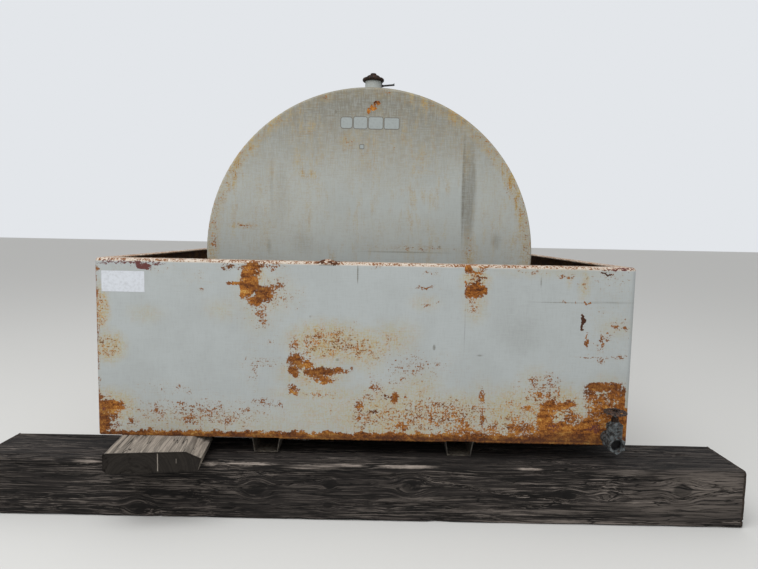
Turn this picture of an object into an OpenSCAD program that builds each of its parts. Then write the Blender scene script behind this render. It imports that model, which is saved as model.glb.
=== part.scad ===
// Horizontal storage tank standing in an open steel containment basin, on two timber bearers.
// X runs across the basin, Y along the tank with the drain end at -Y, Z up from the ground.

/* [Tank] */
// Outside diameter of the tank
tank_d = 1625.6; // [1200:1:1750]
// Length of the tank over its two heads
tank_l = 3657.6; // [3400:1:3900]
// Thickness of the shell and head plate
shell_t = 4.8; // [4:0.1:10]
// Outside radius of the knuckle round each head
knuckle_r = 12; // [10:1:60]
// Straight flange of a head behind its knuckle
head_flange = 38; // [20:1:60]
// Distance from each tank end to the nearer lap seam, at the front
front_seam = 1524; // [1300:1:1600]
// Distance from the rear tank end to the lap seam next to it
rear_seam = 609.6; // [580:1:650]
// Overlap of two shell courses
seam_lap = 25; // [15:1:40]
// Air gap under the tank
tank_clear = 25; // [22:1:60]
// Distance of the tank's axis to the right of the basin's middle
tank_x = 9; // [-30:1:30]

/* [Basin] */
// Width of the basin
basin_w = 2438.4; // [2250:1:2800]
// Length of the basin
basin_l = 4267.2; // [4150:1:4800]
// Height of the basin from its underside to its rim
basin_h = 812.8; // [600:1:900]
// Thickness of the basin plate
plate_t = 4.8; // [4:0.1:8]
// Outside radius of the upright corners
corner_r = 28; // [24:1:40]
// Outside radius of the bend along the rim
bend_r = 15; // [12:1:20]
// Width of the inward flange along the rim
rim_w = 76.2; // [50:1:100]

/* [Skids] */
// Height of a skid channel
skid_h = 88; // [60:1:120]
// Width of a skid channel at the basin floor
skid_top_w = 139; // [120:1:180]
// Width of a skid channel along its foot
skid_foot_w = 110; // [80:1:118]
// Distance of each skid from the middle of the basin
skid_x = 453; // [300:1:600]
// Distance that a skid stops short of each basin end
skid_inset = 50; // [20:1:200]

/* [Timber] */
// Length of a bearer
bearer_l = 3454; // [2600:1:3700]
// Width of a bearer
bearer_w = 318; // [200:1:360]
// Height of a bearer
bearer_h = 265; // [200:1:320]
// Distance that a bearer stands out past the basin end
bearer_out = 75; // [40:1:150]
// Radius of the worn edges of a bearer
bearer_edge = 12; // [4:1:25]
// Width of the packing plank
plank_w = 404; // [250:1:450]
// Length of the packing plank
plank_l = 600; // [450:1:900]
// Distance that the plank's outer corner stands out past the basin front
plank_out = 232; // [160:1:300]
// Distance of the plank's outer corner from the middle of the basin
plank_x = 1086; // [1050:1:1150]
// Angle by which the plank's far end is turned outward
plank_turn = 6.5; // [0:0.5:12]
// Width of the bevel on the plank
plank_bevel_w = 64; // [20:1:90]
// Depth of the bevel on the plank
plank_bevel_h = 32; // [10:1:50]

/* [Saddles] */
// Distance of each saddle from its tank end
saddle_in = 330; // [200:1:400]
// Width of a saddle along the tank
saddle_w = 150; // [100:1:200]
// Half of the length of a saddle across the tank
saddle_half = 450; // [350:1:550]
// Thickness of the saddle plates
saddle_t = 8; // [6:0.5:8]

/* [Lifting lugs] */
// Distance of each lug from its tank end
lug_in = 700; // [690:1:750]
// Thickness of a lug
lug_t = 12.7; // [8:0.1:20]
// Length of a lug along the tank
lug_l = 130; // [100:1:140]
// Height of a lug
lug_h = 105; // [90:1:140]
// Diameter of the lifting eye
lug_eye_d = 38; // [20:1:45]

/* [Fittings] */
// Distance of the fill neck from the front of the tank
fill_y = 365; // [300:1:450]
// Outside diameter of the fill neck
fill_d = 88.9; // [60:0.1:95]
// Height of the fill neck over the tank
fill_h = 125; // [100:1:140]
// Diameter of the fill cap
cap_d = 118; // [112:1:140]
// Height of the fill cap over the end of the neck
cap_h = 36; // [32:1:50]
// Length of the cap lever
lever_l = 66; // [40:1:90]
// Thickness of the cap lever
lever_t = 8; // [6:1:10]
// Slope of the cap lever
lever_rise = 6; // [0:1:12]
// Distance of the gauge coupling from the front of the tank
gauge_y = 1000; // [900:1:1100]
// Distance of the pump coupling from the rear of the tank
pump_in = 300; // [220:1:400]
// Outside diameter of a coupling
coupling_d = 73; // [60:0.5:90]
// Height of a coupling over the tank
coupling_h = 45; // [30:1:60]
// Distance of the vent pipe from the rear of the tank
vent_in = 1400; // [1300:1:1500]
// Outside diameter of the vent pipe
vent_d = 60.3; // [40:0.1:75]
// Height of the vent pipe over the tank
vent_h = 150; // [100:1:200]
// Outside diameter of the emergency vent neck
relief_d = 168.3; // [120:0.1:180]
// Height of the emergency vent neck over the tank
relief_h = 60; // [40:1:100]
// Diameter of the emergency vent cover
cover_d = 230; // [222:1:260]
// Wall of the pipe necks
pipe_t = 5.5; // [3:0.1:7]

/* [Drain valve] */
// Distance of the valve from the middle of the basin
valve_x = 1120; // [900:1:1140]
// Height of the drain over the underside of the basin
drain_h = 37; // [36:1:80]
// Distance of the valve's upright axis from the basin front
valve_out = 80; // [70:1:120]
// Length of the valve over its two ends
valve_l = 80; // [76:1:110]
// Width of the valve's hexagon ends across the flats
hex_w = 68; // [64:1:80]
// Bore of the valve
valve_bore_d = 54; // [40:1:56]
// Depth of the outlet down to the closed gate
outlet_depth = 32; // [22:1:34]
// Outside diameter of the pipe nipple
nipple_d = 60.3; // [56:0.1:61]
// Height of the handwheel over the bore
wheel_h = 139; // [130:1:170]
// Diameter of the handwheel
wheel_d = 100; // [90:1:130]
// Thickness of the handwheel rim
wheel_rim = 8; // [6:0.5:10]
// Number of lobes round the handwheel rim
lobes = 14; // [12:1:16]
// Number of spokes in the handwheel
spokes = 5; // [3:1:7]
// Diameter of the valve stem
stem_d = 12; // [8:0.5:14]

/* [Hidden] */

$fn = 96;

// Gap between pieces that are welded or laid against each other
seat = 0.3;
// Running clearance round the valve stem
run = 0.05;
// Length by which a cutting tool passes a face
cut = 1;

steel_paint = "#b4bcbc";
rust = "#7a4a2c";
timber = "#3b332c";
plank_wood = "#8d8576";
galvanised = "#8e9494";
dark_iron = "#4b3d36";
black_paint = "#262626";

total_l = plank_out + basin_l + bearer_out;
front_y = plank_out - total_l / 2;
rear_y = front_y + basin_l;
mid_y = (front_y + rear_y) / 2;
under_z = bearer_h + skid_h;
floor_z = under_z + plate_t;
rim_z = under_z + basin_h;

tank_r = tank_d / 2;
tank_z = floor_z + tank_clear + tank_r;
tank_y = mid_y - tank_l / 2;
tank_end_y = tank_y + tank_l;
head_depth = knuckle_r + head_flange;
outer_r = tank_r + seat + shell_t;
// Top of a front or rear course, and of the middle course that laps over them
crown_z = tank_z + tank_r;
lap_crown_z = tank_z + outer_r;

// Length of pipe below the crown, inside the tank
neck_below = 25;
neck_r = fill_d / 2;
relief_r = relief_d / 2;
vent_r = vent_d / 2;
coupling_r = coupling_d / 2;

valve_y = front_y - valve_out;
drain_z = under_z + drain_h;
nipple_r = nipple_d / 2;
bore_r = valve_bore_d / 2;
// Length of each threaded end of the valve
socket_l = valve_l / 5;
// The valve's upright parts share the height between the bore and the handwheel
barrel_r = hex_w / 2;
barrel_top = wheel_h * 0.52;
ring_h = wheel_h * 0.08;
dome_h = wheel_h * 0.1;
gland_h = wheel_h * 0.15;
hub_h = wheel_rim * 1.5;
lobe_r = wheel_d * 0.08;
lobe_hole_r = lobe_r * 0.6;
lobe_ring_r = wheel_d / 2 - lobe_r;

// A rectangle with round corners, its middle at the origin
module round_rect(w, l, r) {
    square([w - 2 * r, l], center = true);
    square([w, l - 2 * r], center = true);
    for (x = [-1, 1], y = [-1, 1])
        translate([x * (w / 2 - r), y * (l / 2 - r)]) circle(r = r);
}

// A quarter of a ring in the first quadrant
module quarter_ring(r, t) {
    intersection() {
        difference() {
            circle(r = r);
            circle(r = r - t);
        }
        square([r, r]);
    }
}

// A tube along Y
module tube_y(y, l, r_out, r_in) {
    translate([tank_x, y, tank_z]) rotate([-90, 0, 0]) difference() {
        cylinder(r = r_out, h = l);
        translate([0, 0, -cut]) cylinder(r = r_in, h = l + 2 * cut);
    }
}

// An upright cylinder that cuts a hole in the top of the tank
module crown_hole(y, r) {
    translate([tank_x, y, tank_z]) cylinder(r = r + seat, h = outer_r + cut);
}

// An upright pipe through the top of the tank
module neck(y, top_z, r, t) {
    bottom_z = crown_z - neck_below;
    translate([tank_x, y, bottom_z]) difference() {
        cylinder(r = r, h = top_z - bottom_z);
        translate([0, 0, -cut]) cylinder(r = r - t, h = top_z - bottom_z + 2 * cut);
    }
}

// The bearer's section lies across the basin and runs along X
module bearer(y) {
    color(timber)
        translate([-bearer_l / 2, y + bearer_w / 2, bearer_h / 2])
            rotate([90, 0, 90])
                linear_extrude(bearer_l) round_rect(bearer_w, bearer_h, bearer_edge);
}

module bearer_front() { bearer(front_y - bearer_out); }
module bearer_rear() { bearer(rear_y + bearer_out - bearer_w); }

// A plank as thick as the skids are high, with one edge bevelled
module packing_plank() {
    worn = plank_bevel_h / 2;
    color(plank_wood)
        translate([-plank_x, front_y - plank_out, bearer_h])
            rotate([0, 0, plank_turn])
                translate([0, plank_l, 0])
                    rotate([90, 0, 0])
                        linear_extrude(plank_l)
                            polygon([
                                [worn, 0], [plank_w - worn, 0], [plank_w, skid_h - plank_bevel_h],
                                [plank_w - plank_bevel_w, skid_h], [0, skid_h], [0, worn]
                            ]);
}

// An open channel of bent plate with sloping sides, closed above by the basin floor
module skid(x) {
    slope = (skid_top_w - skid_foot_w) / 2 / skid_h;
    side_t = plate_t * sqrt(1 + slope * slope);
    in_top = skid_top_w / 2 - side_t;
    in_foot = skid_foot_w / 2 - side_t + slope * plate_t;
    color(steel_paint)
        translate([x, rear_y - skid_inset, bearer_h])
            rotate([90, 0, 0])
                linear_extrude(basin_l - 2 * skid_inset)
                    polygon([
                        [-skid_foot_w / 2, 0], [skid_foot_w / 2, 0], [skid_top_w / 2, skid_h],
                        [in_top, skid_h], [in_foot, plate_t], [-in_foot, plate_t],
                        [-in_top, skid_h], [-skid_top_w / 2, skid_h]
                    ]);
}

module skid_left() { skid(-skid_x); }
module skid_right() { skid(skid_x); }

module basin_floor() {
    color(rust)
        translate([0, mid_y, under_z])
            linear_extrude(plate_t) round_rect(basin_w, basin_l, corner_r);
}

// A length of folded plate: the wall, the bend over it and the flange, run along X.
// The flange is mitred at both ends, and run is the length between the corner bends.
module folded_wall(run_l) {
    wall_h = basin_h - plate_t - bend_r;
    reach = rim_w - corner_r;
    translate([-run_l / 2, 0, floor_z]) cube([run_l, plate_t, wall_h]);
    translate([run_l / 2, bend_r, rim_z - bend_r])
        rotate([90, 0, -90]) linear_extrude(run_l) quarter_ring(bend_r, plate_t);
    translate([0, 0, rim_z - plate_t])
        linear_extrude(plate_t)
            polygon([
                [-run_l / 2, bend_r], [run_l / 2, bend_r], [run_l / 2, corner_r],
                [run_l / 2 - reach, rim_w], [reach - run_l / 2, rim_w], [-run_l / 2, corner_r]
            ]);
}

// The upright corner bend with the rounded corner of the rim, about its own axis
module folded_corner() {
    wall_h = basin_h - plate_t - bend_r;
    translate([0, 0, floor_z]) linear_extrude(wall_h) quarter_ring(corner_r, plate_t);
    translate([0, 0, rim_z - bend_r])
        rotate_extrude(angle = 90)
            translate([corner_r - bend_r, 0]) quarter_ring(bend_r, plate_t);
    translate([0, 0, rim_z - plate_t])
        linear_extrude(plate_t)
            intersection() {
                circle(r = corner_r - bend_r);
                square([corner_r, corner_r]);
            }
}

// An end wall with both corner bends, its outer face on y = 0
module end_wall() {
    run_l = basin_w - 2 * corner_r;
    folded_wall(run_l);
    translate([run_l / 2, corner_r, 0]) rotate([0, 0, -90]) folded_corner();
    translate([-run_l / 2, corner_r, 0]) rotate([0, 0, 180]) folded_corner();
}

module basin_front_wall() {
    color(steel_paint)
        difference() {
            translate([0, front_y, 0]) end_wall();
            translate([valve_x, front_y + plate_t + cut, drain_z])
                rotate([90, 0, 0]) cylinder(r = nipple_r + seat, h = plate_t + 2 * cut);
        }
}

module basin_rear_wall() {
    color(steel_paint) translate([0, rear_y, 0]) rotate([0, 0, 180]) end_wall();
}

module side_wall(side) {
    color(steel_paint)
        translate([side * basin_w / 2, mid_y, 0])
            rotate([0, 0, side * 90]) folded_wall(basin_l - 2 * corner_r);
}

module basin_left_wall() { side_wall(-1); }
module basin_right_wall() { side_wall(1); }

// A low cradle: a foot plate, a web, two end plates and a curved plate under the tank
module saddle(y) {
    rest_r = tank_r + seat;
    top_h = tank_clear + tank_r - sqrt(rest_r * rest_r - saddle_half * saddle_half);
    color(rust)
        translate([tank_x, y + saddle_w / 2, floor_z])
            rotate([90, 0, 0]) {
                translate([-saddle_half, 0, 0]) cube([2 * saddle_half, saddle_t, saddle_w]);
                linear_extrude(saddle_w)
                    intersection() {
                        translate([-saddle_half, 0]) square([2 * saddle_half, top_h]);
                        translate([0, tank_clear + tank_r])
                            difference() {
                                circle(r = rest_r + saddle_t, $fn = 180);
                                circle(r = rest_r, $fn = 180);
                            }
                    }
                translate([0, 0, (saddle_w - saddle_t) / 2])
                    linear_extrude(saddle_t)
                        difference() {
                            translate([-saddle_half, 0]) square([2 * saddle_half, top_h]);
                            translate([0, tank_clear + tank_r]) circle(r = rest_r, $fn = 180);
                        }
                linear_extrude(saddle_w)
                    difference() {
                        for (x = [-saddle_half, saddle_half - saddle_t])
                            translate([x, 0]) square([saddle_t, top_h]);
                        translate([0, tank_clear + tank_r]) circle(r = rest_r, $fn = 180);
                    }
            }
}

module saddle_front() { saddle(tank_y + saddle_in); }
module saddle_rear() { saddle(tank_end_y - saddle_in); }

module shell_front() {
    color(steel_paint)
        difference() {
            tube_y(tank_y + head_depth, front_seam + seam_lap / 2 - head_depth, tank_r, tank_r - shell_t);
            crown_hole(tank_y + fill_y, neck_r);
            crown_hole(tank_y + gauge_y, coupling_r);
        }
}

module shell_middle() {
    start_y = tank_y + front_seam - seam_lap / 2;
    end_y = tank_end_y - rear_seam + seam_lap / 2;
    color(steel_paint)
        difference() {
            tube_y(start_y, end_y - start_y, outer_r, outer_r - shell_t);
            crown_hole(mid_y, relief_r);
            crown_hole(tank_end_y - vent_in, vent_r);
        }
}

module shell_rear() {
    color(steel_paint)
        difference() {
            tube_y(tank_end_y - rear_seam - seam_lap / 2, rear_seam + seam_lap / 2 - head_depth,
                tank_r, tank_r - shell_t);
            crown_hole(tank_end_y - pump_in, coupling_r);
        }
}

// A flat head with a rounded knuckle and a straight flange, its face at z = 0
module head() {
    flat_r = tank_r - knuckle_r;
    rotate_extrude($fn = 180) {
        square([flat_r, shell_t]);
        translate([flat_r, knuckle_r]) mirror([0, 1]) quarter_ring(knuckle_r, shell_t);
        translate([tank_r - shell_t, knuckle_r]) square([shell_t, head_flange]);
    }
}

module head_front() {
    color(steel_paint) translate([tank_x, tank_y, tank_z]) rotate([-90, 0, 0]) head();
}

module head_rear() {
    color(steel_paint) translate([tank_x, tank_end_y, tank_z]) rotate([90, 0, 0]) head();
}

// A lifting plate with a round eye on top of the tank
module lifting_lug(y, z) {
    eye_z = lug_h - lug_eye_d;
    nose_r = lug_eye_d;
    color(steel_paint)
        translate([tank_x - lug_t / 2, y, z + seat])
            rotate([90, 0, 90])
                linear_extrude(lug_t)
                    difference() {
                        union() {
                            translate([0, eye_z]) circle(r = nose_r);
                            polygon([
                                [-lug_l / 2, 0], [lug_l / 2, 0], [lug_l / 2, lug_l / 8],
                                [nose_r * cos(30), eye_z + nose_r * sin(30)],
                                [-nose_r * cos(30), eye_z + nose_r * sin(30)], [-lug_l / 2, lug_l / 8]
                            ]);
                        }
                        translate([0, eye_z]) circle(d = lug_eye_d);
                    }
}

module lifting_lug_front() { lifting_lug(tank_y + lug_in, crown_z); }
module lifting_lug_rear() { lifting_lug(tank_end_y - lug_in, lap_crown_z); }

module fill_neck() {
    color(steel_paint) neck(tank_y + fill_y, crown_z + fill_h, neck_r, pipe_t);
}

// A mushroom cap in three tiers with round edges, which sits over the neck
module fill_cap() {
    skirt = cap_h / 4;
    brim_h = cap_h / 4;
    tier_h = cap_h * 3 / 8;
    brim_r = cap_d / 2;
    tier_r = cap_d * 0.3;
    crown_r = cap_d / 7;
    edge = (skirt + brim_h) / 2 - seat;
    color(dark_iron)
        translate([tank_x, tank_y + fill_y, crown_z + fill_h])
            rotate_extrude() {
                difference() {
                    round_tier(brim_r, skirt + brim_h, -skirt, edge);
                    translate([0, -skirt - cut]) square([neck_r + seat, skirt + cut]);
                }
                round_tier(tier_r, brim_h + tier_h, 0, tier_h / 2);
                round_tier(crown_r, cap_h, 0, cap_h / 6);
            }
}

// Half the section of a disc on z = low, with a round edge
module round_tier(r, h, low, edge) {
    translate([0, low]) {
        square([r - edge, h]);
        translate([0, edge]) square([r, h - 2 * edge]);
        for (z = [edge, h - edge])
            translate([r - edge, z]) circle(r = edge, $fn = 32);
    }
}

// A strap down the side of the neck with a thin lever that slopes up to an upturned tip
module cap_lever() {
    skirt = cap_h / 4;
    strap_t = lever_t / 2;
    strap_h = lever_t * 3.5;
    strap_w = lever_t * 1.5;
    tip = lever_t / 2;
    color(black_paint)
        translate([tank_x + neck_r + seat, tank_y + fill_y, crown_z + fill_h - skirt - seat]) {
            translate([0, -strap_w / 2, -strap_h]) cube([strap_t, strap_w, strap_h]);
            translate([strap_w / 2, strap_w / 2, lever_t - strap_h]) {
                rotate([90, 0, 0]) cylinder(d = strap_w, h = strap_w);
                translate([0, -strap_w / 2, 0])
                    rotate([0, -lever_rise, 0]) {
                        translate([0, -lever_t / 2, -lever_t / 2]) cube([lever_l, lever_t, lever_t]);
                        translate([lever_l - tip, -lever_t / 2, 0]) cube([tip, lever_t, lever_t]);
                    }
            }
        }
}

module coupling(y, z) {
    neck(y, z + coupling_h, coupling_r, coupling_r - bore_r);
}

// A pipe plug with a square head
module plug(y, z) {
    head_w = coupling_d / 3;
    color(dark_iron)
        translate([tank_x, y, z + coupling_h]) {
            translate([0, 0, -coupling_h / 2]) cylinder(r = bore_r - seat, h = coupling_h / 2 + plate_t);
            translate([-head_w / 2, -head_w / 2, plate_t]) cube([head_w, head_w, head_w * 2 / 3]);
        }
}

module gauge_coupling() { color(steel_paint) coupling(tank_y + gauge_y, crown_z); }
module gauge_plug() { plug(tank_y + gauge_y, crown_z); }
module pump_coupling() { color(steel_paint) coupling(tank_end_y - pump_in, crown_z); }
module pump_plug() { plug(tank_end_y - pump_in, crown_z); }

module vent_pipe() {
    color(galvanised) neck(tank_end_y - vent_in, lap_crown_z + vent_h, vent_r, pipe_t);
}

// A small mushroom cap over the vent pipe
module vent_cap() {
    cap_r = vent_r * 1.6;
    rise = cap_r / 2;
    dome_r = (cap_r * cap_r + rise * rise) / (2 * rise);
    skirt = vent_r;
    color(galvanised)
        translate([tank_x, tank_end_y - vent_in, lap_crown_z + vent_h])
            rotate_extrude() {
                translate([vent_r + seat, -skirt]) square([pipe_t, skirt]);
                square([cap_r, pipe_t]);
                translate([0, pipe_t])
                    intersection() {
                        translate([0, rise - dome_r]) circle(r = dome_r);
                        square([cap_r, rise]);
                    }
            }
}

// The wide neck of the emergency vent with the flange that its cover rests on
module emergency_vent_neck() {
    flange_t = 2 * pipe_t;
    flange_r = relief_r + 3 * pipe_t;
    color(steel_paint) {
        neck(mid_y, lap_crown_z + relief_h, relief_r, pipe_t);
        translate([tank_x, mid_y, lap_crown_z + relief_h - flange_t])
            difference() {
                cylinder(r = flange_r, h = flange_t);
                translate([0, 0, -cut]) cylinder(r = relief_r - pipe_t, h = flange_t + 2 * cut);
            }
    }
}

module emergency_vent_cover() {
    cover_r = cover_d / 2;
    rise = cover_d / 6;
    dome_r = (cover_r * cover_r + rise * rise) / (2 * rise);
    skirt = relief_h / 2;
    color(black_paint)
        translate([tank_x, mid_y, lap_crown_z + relief_h])
            rotate_extrude() {
                translate([cover_r - pipe_t, -skirt]) square([pipe_t, skirt + pipe_t]);
                square([cover_r, 2 * pipe_t]);
                translate([0, 2 * pipe_t])
                    intersection() {
                        translate([0, rise - dome_r]) circle(r = dome_r, $fn = 360);
                        square([cover_r, rise]);
                    }
            }
}

// A pipe through the front wall, screwed into the back of the valve
module drain_nipple() {
    inside = 2 * plate_t;
    front_end = valve_y + valve_l / 2 - socket_l;
    color(galvanised)
        translate([valve_x, front_y + plate_t + inside, drain_z])
            rotate([90, 0, 0])
                difference() {
                    cylinder(r = nipple_r, h = front_y + plate_t + inside - front_end);
                    translate([0, 0, -cut]) cylinder(r = nipple_r - pipe_t, h = valve_out + valve_l);
                }
}

// The valve body has a hexagon at each end, a waist between them and a round barrel for the bonnet.
// The closed gate stands between the outlet and the inlet.
module valve_body() {
    corner = hex_w / 2 / cos(30);
    color(galvanised)
        translate([valve_x, valve_y, drain_z])
            difference() {
                union() {
                    rotate([90, 30, 0])
                        for (z = [-valve_l / 2, valve_l / 2 - socket_l])
                            translate([0, 0, z]) cylinder(r = corner, h = socket_l, $fn = 6);
                    rotate([90, 0, 0])
                        translate([0, 0, -valve_l / 2]) cylinder(r = hex_w / 2 - pipe_t / 2, h = valve_l);
                    cylinder(r = barrel_r, h = barrel_top);
                }
                translate([0, -valve_l / 2 - cut, 0])
                    rotate([-90, 0, 0]) cylinder(r = bore_r, h = outlet_depth + cut);
                translate([0, valve_l / 2 + cut, 0])
                    rotate([90, 0, 0]) cylinder(r = nipple_r + run, h = socket_l + cut);
                translate([0, valve_l / 2 + cut, 0])
                    rotate([90, 0, 0]) cylinder(r = nipple_r - pipe_t, h = outlet_depth + cut);
            }
}

// The bonnet is a ring on the barrel and a dome over it, bored for the stem
module valve_bonnet() {
    ring_r = barrel_r + pipe_t / 4;
    foot_r = barrel_r * 3 / 4;
    top_r = barrel_r / 2;
    drop = (foot_r * foot_r - top_r * top_r - dome_h * dome_h) / (2 * dome_h);
    dome_r = sqrt(foot_r * foot_r + drop * drop);
    color(galvanised)
        translate([valve_x, valve_y, drain_z + barrel_top])
            rotate_extrude()
                difference() {
                    union() {
                        square([ring_r, ring_h]);
                        translate([0, ring_h])
                            intersection() {
                                translate([0, -drop]) circle(r = dome_r);
                                square([foot_r, dome_h]);
                            }
                    }
                    translate([-cut, -cut]) square([stem_d / 2 + run + cut, ring_h + dome_h + 2 * cut]);
                }
}

// The packing nut under the handwheel
module gland_nut() {
    color(dark_iron)
        translate([valve_x, valve_y, drain_z + barrel_top + ring_h + dome_h])
            difference() {
                union() {
                    cylinder(r = barrel_r / 2, h = gland_h * 2 / 3, $fn = 6);
                    cylinder(r = stem_d, h = gland_h);
                }
                translate([0, 0, -cut]) cylinder(r = stem_d / 2 + run, h = gland_h + 2 * cut);
            }
}

module valve_stem() {
    low = barrel_top + stem_d / 2;
    color(galvanised)
        translate([valve_x, valve_y, drain_z + low])
            cylinder(d = stem_d, h = wheel_h + hub_h / 2 + stem_d - low);
}

// Flat section of the handwheel rim: a band with a lobe round each hole
module lobed_rim() {
    difference() {
        union() {
            difference() {
                circle(r = lobe_ring_r + lobe_r / 2);
                circle(r = lobe_ring_r - lobe_r / 2);
            }
            for (i = [0:lobes - 1])
                rotate(i * 360 / lobes) translate([lobe_ring_r, 0]) circle(r = lobe_r, $fn = 24);
        }
        for (i = [0:lobes - 1])
            rotate(i * 360 / lobes) translate([lobe_ring_r, 0]) circle(r = lobe_hole_r, $fn = 16);
    }
}

// The handwheel has an openwork rim that stays cool, flat spokes and a bored hub
module valve_handwheel() {
    spoke_w = wheel_rim;
    spoke_t = wheel_rim * 0.6;
    color(rust)
        translate([valve_x, valve_y, drain_z + wheel_h])
            difference() {
                union() {
                    translate([0, 0, -wheel_rim / 2]) linear_extrude(wheel_rim) lobed_rim();
                    translate([0, 0, -hub_h / 2]) cylinder(r = stem_d, h = hub_h);
                    for (i = [0:spokes - 1])
                        rotate([0, 0, i * 360 / spokes])
                            translate([0, -spoke_w / 2, -spoke_t / 2])
                                cube([lobe_ring_r - lobe_hole_r - run, spoke_w, spoke_t]);
                }
                translate([0, 0, -hub_h]) cylinder(d = stem_d + 2 * run, h = 2 * hub_h);
            }
}

module wheel_nut() {
    nut_r = stem_d * 0.95;
    nut_h = stem_d * 2 / 3;
    color(dark_iron)
        translate([valve_x, valve_y, drain_z + wheel_h + hub_h / 2])
            difference() {
                cylinder(r = nut_r, h = nut_h, $fn = 6);
                translate([0, 0, -cut]) cylinder(d = stem_d + 2 * run, h = nut_h + 2 * cut);
            }
}

bearer_front();
bearer_rear();
packing_plank();
skid_left();
skid_right();
basin_floor();
basin_front_wall();
basin_rear_wall();
basin_left_wall();
basin_right_wall();
saddle_front();
saddle_rear();
shell_front();
shell_middle();
shell_rear();
head_front();
head_rear();
lifting_lug_front();
lifting_lug_rear();
fill_neck();
fill_cap();
cap_lever();
gauge_coupling();
gauge_plug();
pump_coupling();
pump_plug();
vent_pipe();
vent_cap();
emergency_vent_neck();
emergency_vent_cover();
drain_nipple();
valve_body();
valve_bonnet();
gland_nut();
valve_stem();
valve_handwheel();
wheel_nut();
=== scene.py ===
import math

import bmesh
import bpy
from bpy.props import FloatProperty, FloatVectorProperty, PointerProperty
from mathutils import Matrix, Vector, noise


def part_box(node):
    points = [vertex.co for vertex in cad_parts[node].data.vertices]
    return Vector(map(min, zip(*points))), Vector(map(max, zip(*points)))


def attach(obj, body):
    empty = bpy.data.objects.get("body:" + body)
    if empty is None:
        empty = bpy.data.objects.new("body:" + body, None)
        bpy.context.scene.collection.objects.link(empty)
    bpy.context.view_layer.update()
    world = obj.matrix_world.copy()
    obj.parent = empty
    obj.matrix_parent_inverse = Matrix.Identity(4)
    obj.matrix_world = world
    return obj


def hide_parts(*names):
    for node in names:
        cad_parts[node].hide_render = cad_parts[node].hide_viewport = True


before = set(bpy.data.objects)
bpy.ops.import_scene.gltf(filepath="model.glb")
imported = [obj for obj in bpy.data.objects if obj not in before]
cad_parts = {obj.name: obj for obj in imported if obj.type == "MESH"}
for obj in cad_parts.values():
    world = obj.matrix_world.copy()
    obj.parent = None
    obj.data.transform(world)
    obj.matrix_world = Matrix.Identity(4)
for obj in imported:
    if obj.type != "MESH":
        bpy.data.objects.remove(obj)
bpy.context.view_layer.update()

bl_info = {
    "name": "Storage tank in its basin",
    "version": (1, 0, 0),
    "blender": (4, 5, 0),
    "location": "View3D > Sidebar > Storage tank",
    "description": "Finishes a rusty horizontal storage tank that stands in an open steel basin on timber",
    "category": "Object",
}

MM = 0.001
ROOT = "tank_and_basin"

FRONT_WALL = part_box("basin_front_wall")
REAR_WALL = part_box("basin_rear_wall")
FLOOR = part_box("basin_floor")
HEAD_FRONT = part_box("head_front")
HEAD_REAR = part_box("head_rear")
SKID_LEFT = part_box("skid_left")
SKID_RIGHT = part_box("skid_right")
SHELL_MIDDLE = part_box("shell_middle")
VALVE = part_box("valve_body")
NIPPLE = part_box("drain_nipple")
PLANK_TURN = math.radians(6.5)

FRONT_Y = FRONT_WALL[0].y
REAR_Y = REAR_WALL[1].y
MID_Y = (FRONT_Y + REAR_Y) / 2
HALF_W = FLOOR[1].x
CORNER = 28 * MM
PLATE = 4.8 * MM
UNDER_Z = FLOOR[0].z
RIM_Z = FRONT_WALL[1].z
TANK_X = (HEAD_FRONT[0].x + HEAD_FRONT[1].x) / 2
TANK_R = (HEAD_FRONT[1].x - HEAD_FRONT[0].x) / 2
TANK_Z = HEAD_FRONT[0].z + TANK_R
TANK_Y = HEAD_FRONT[0].y
LAP_R = (SHELL_MIDDLE[1].x - SHELL_MIDDLE[0].x) / 2
DRAIN = Vector(((VALVE[0].x + VALVE[1].x) / 2, VALVE[0].y, (NIPPLE[0].z + NIPPLE[1].z) / 2))
BORE_R = 27 * MM
GRAIN_LONG, GRAIN_WIDE, CHECK_WIDE = 0.5, 0.024, 0.08
LAMP_PLACE = (-1.5, FRONT_Y - 3.0, 6.5)
LAMP_TARGET = (0, 0, 1.0)
LAMP_SIZE = 6
FLOOR_HALF = 60
X, Y, Z = (1, 0, 0), (0, 1, 0), (0, 0, 1)

# Colours that the panel doesn't offer
RUST_SCALE = ((0.0, "#3d1f0b"), (0.25, "#673811"), (0.5, "#8e551e"), (0.75, "#ab712c"), (1.0, "#c49b55"))
THIN_RUST = "#774a27"
DARK_RUST = "#3d2215"
# Near-black brown for inside the basin: wet rust, and painted shade for the shade within its walls
WET_RUST_AND_SHADE = "#20150f"
PLATE_SCALE = "#231811"
IRON_RUST = "#5e4232"
# Near black painted shade inside the drain's bore
BORE_SHADE = "#080706"
CRACK_BLACK = "#0b0908"
GROWTH_RING = "#171310"
FILM_DUST = "#57544e"
ZINC = {"pale": "#5c6264", "dark": "#100f0e", "rusty": 0.4, "metallic": 0.35}

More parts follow.
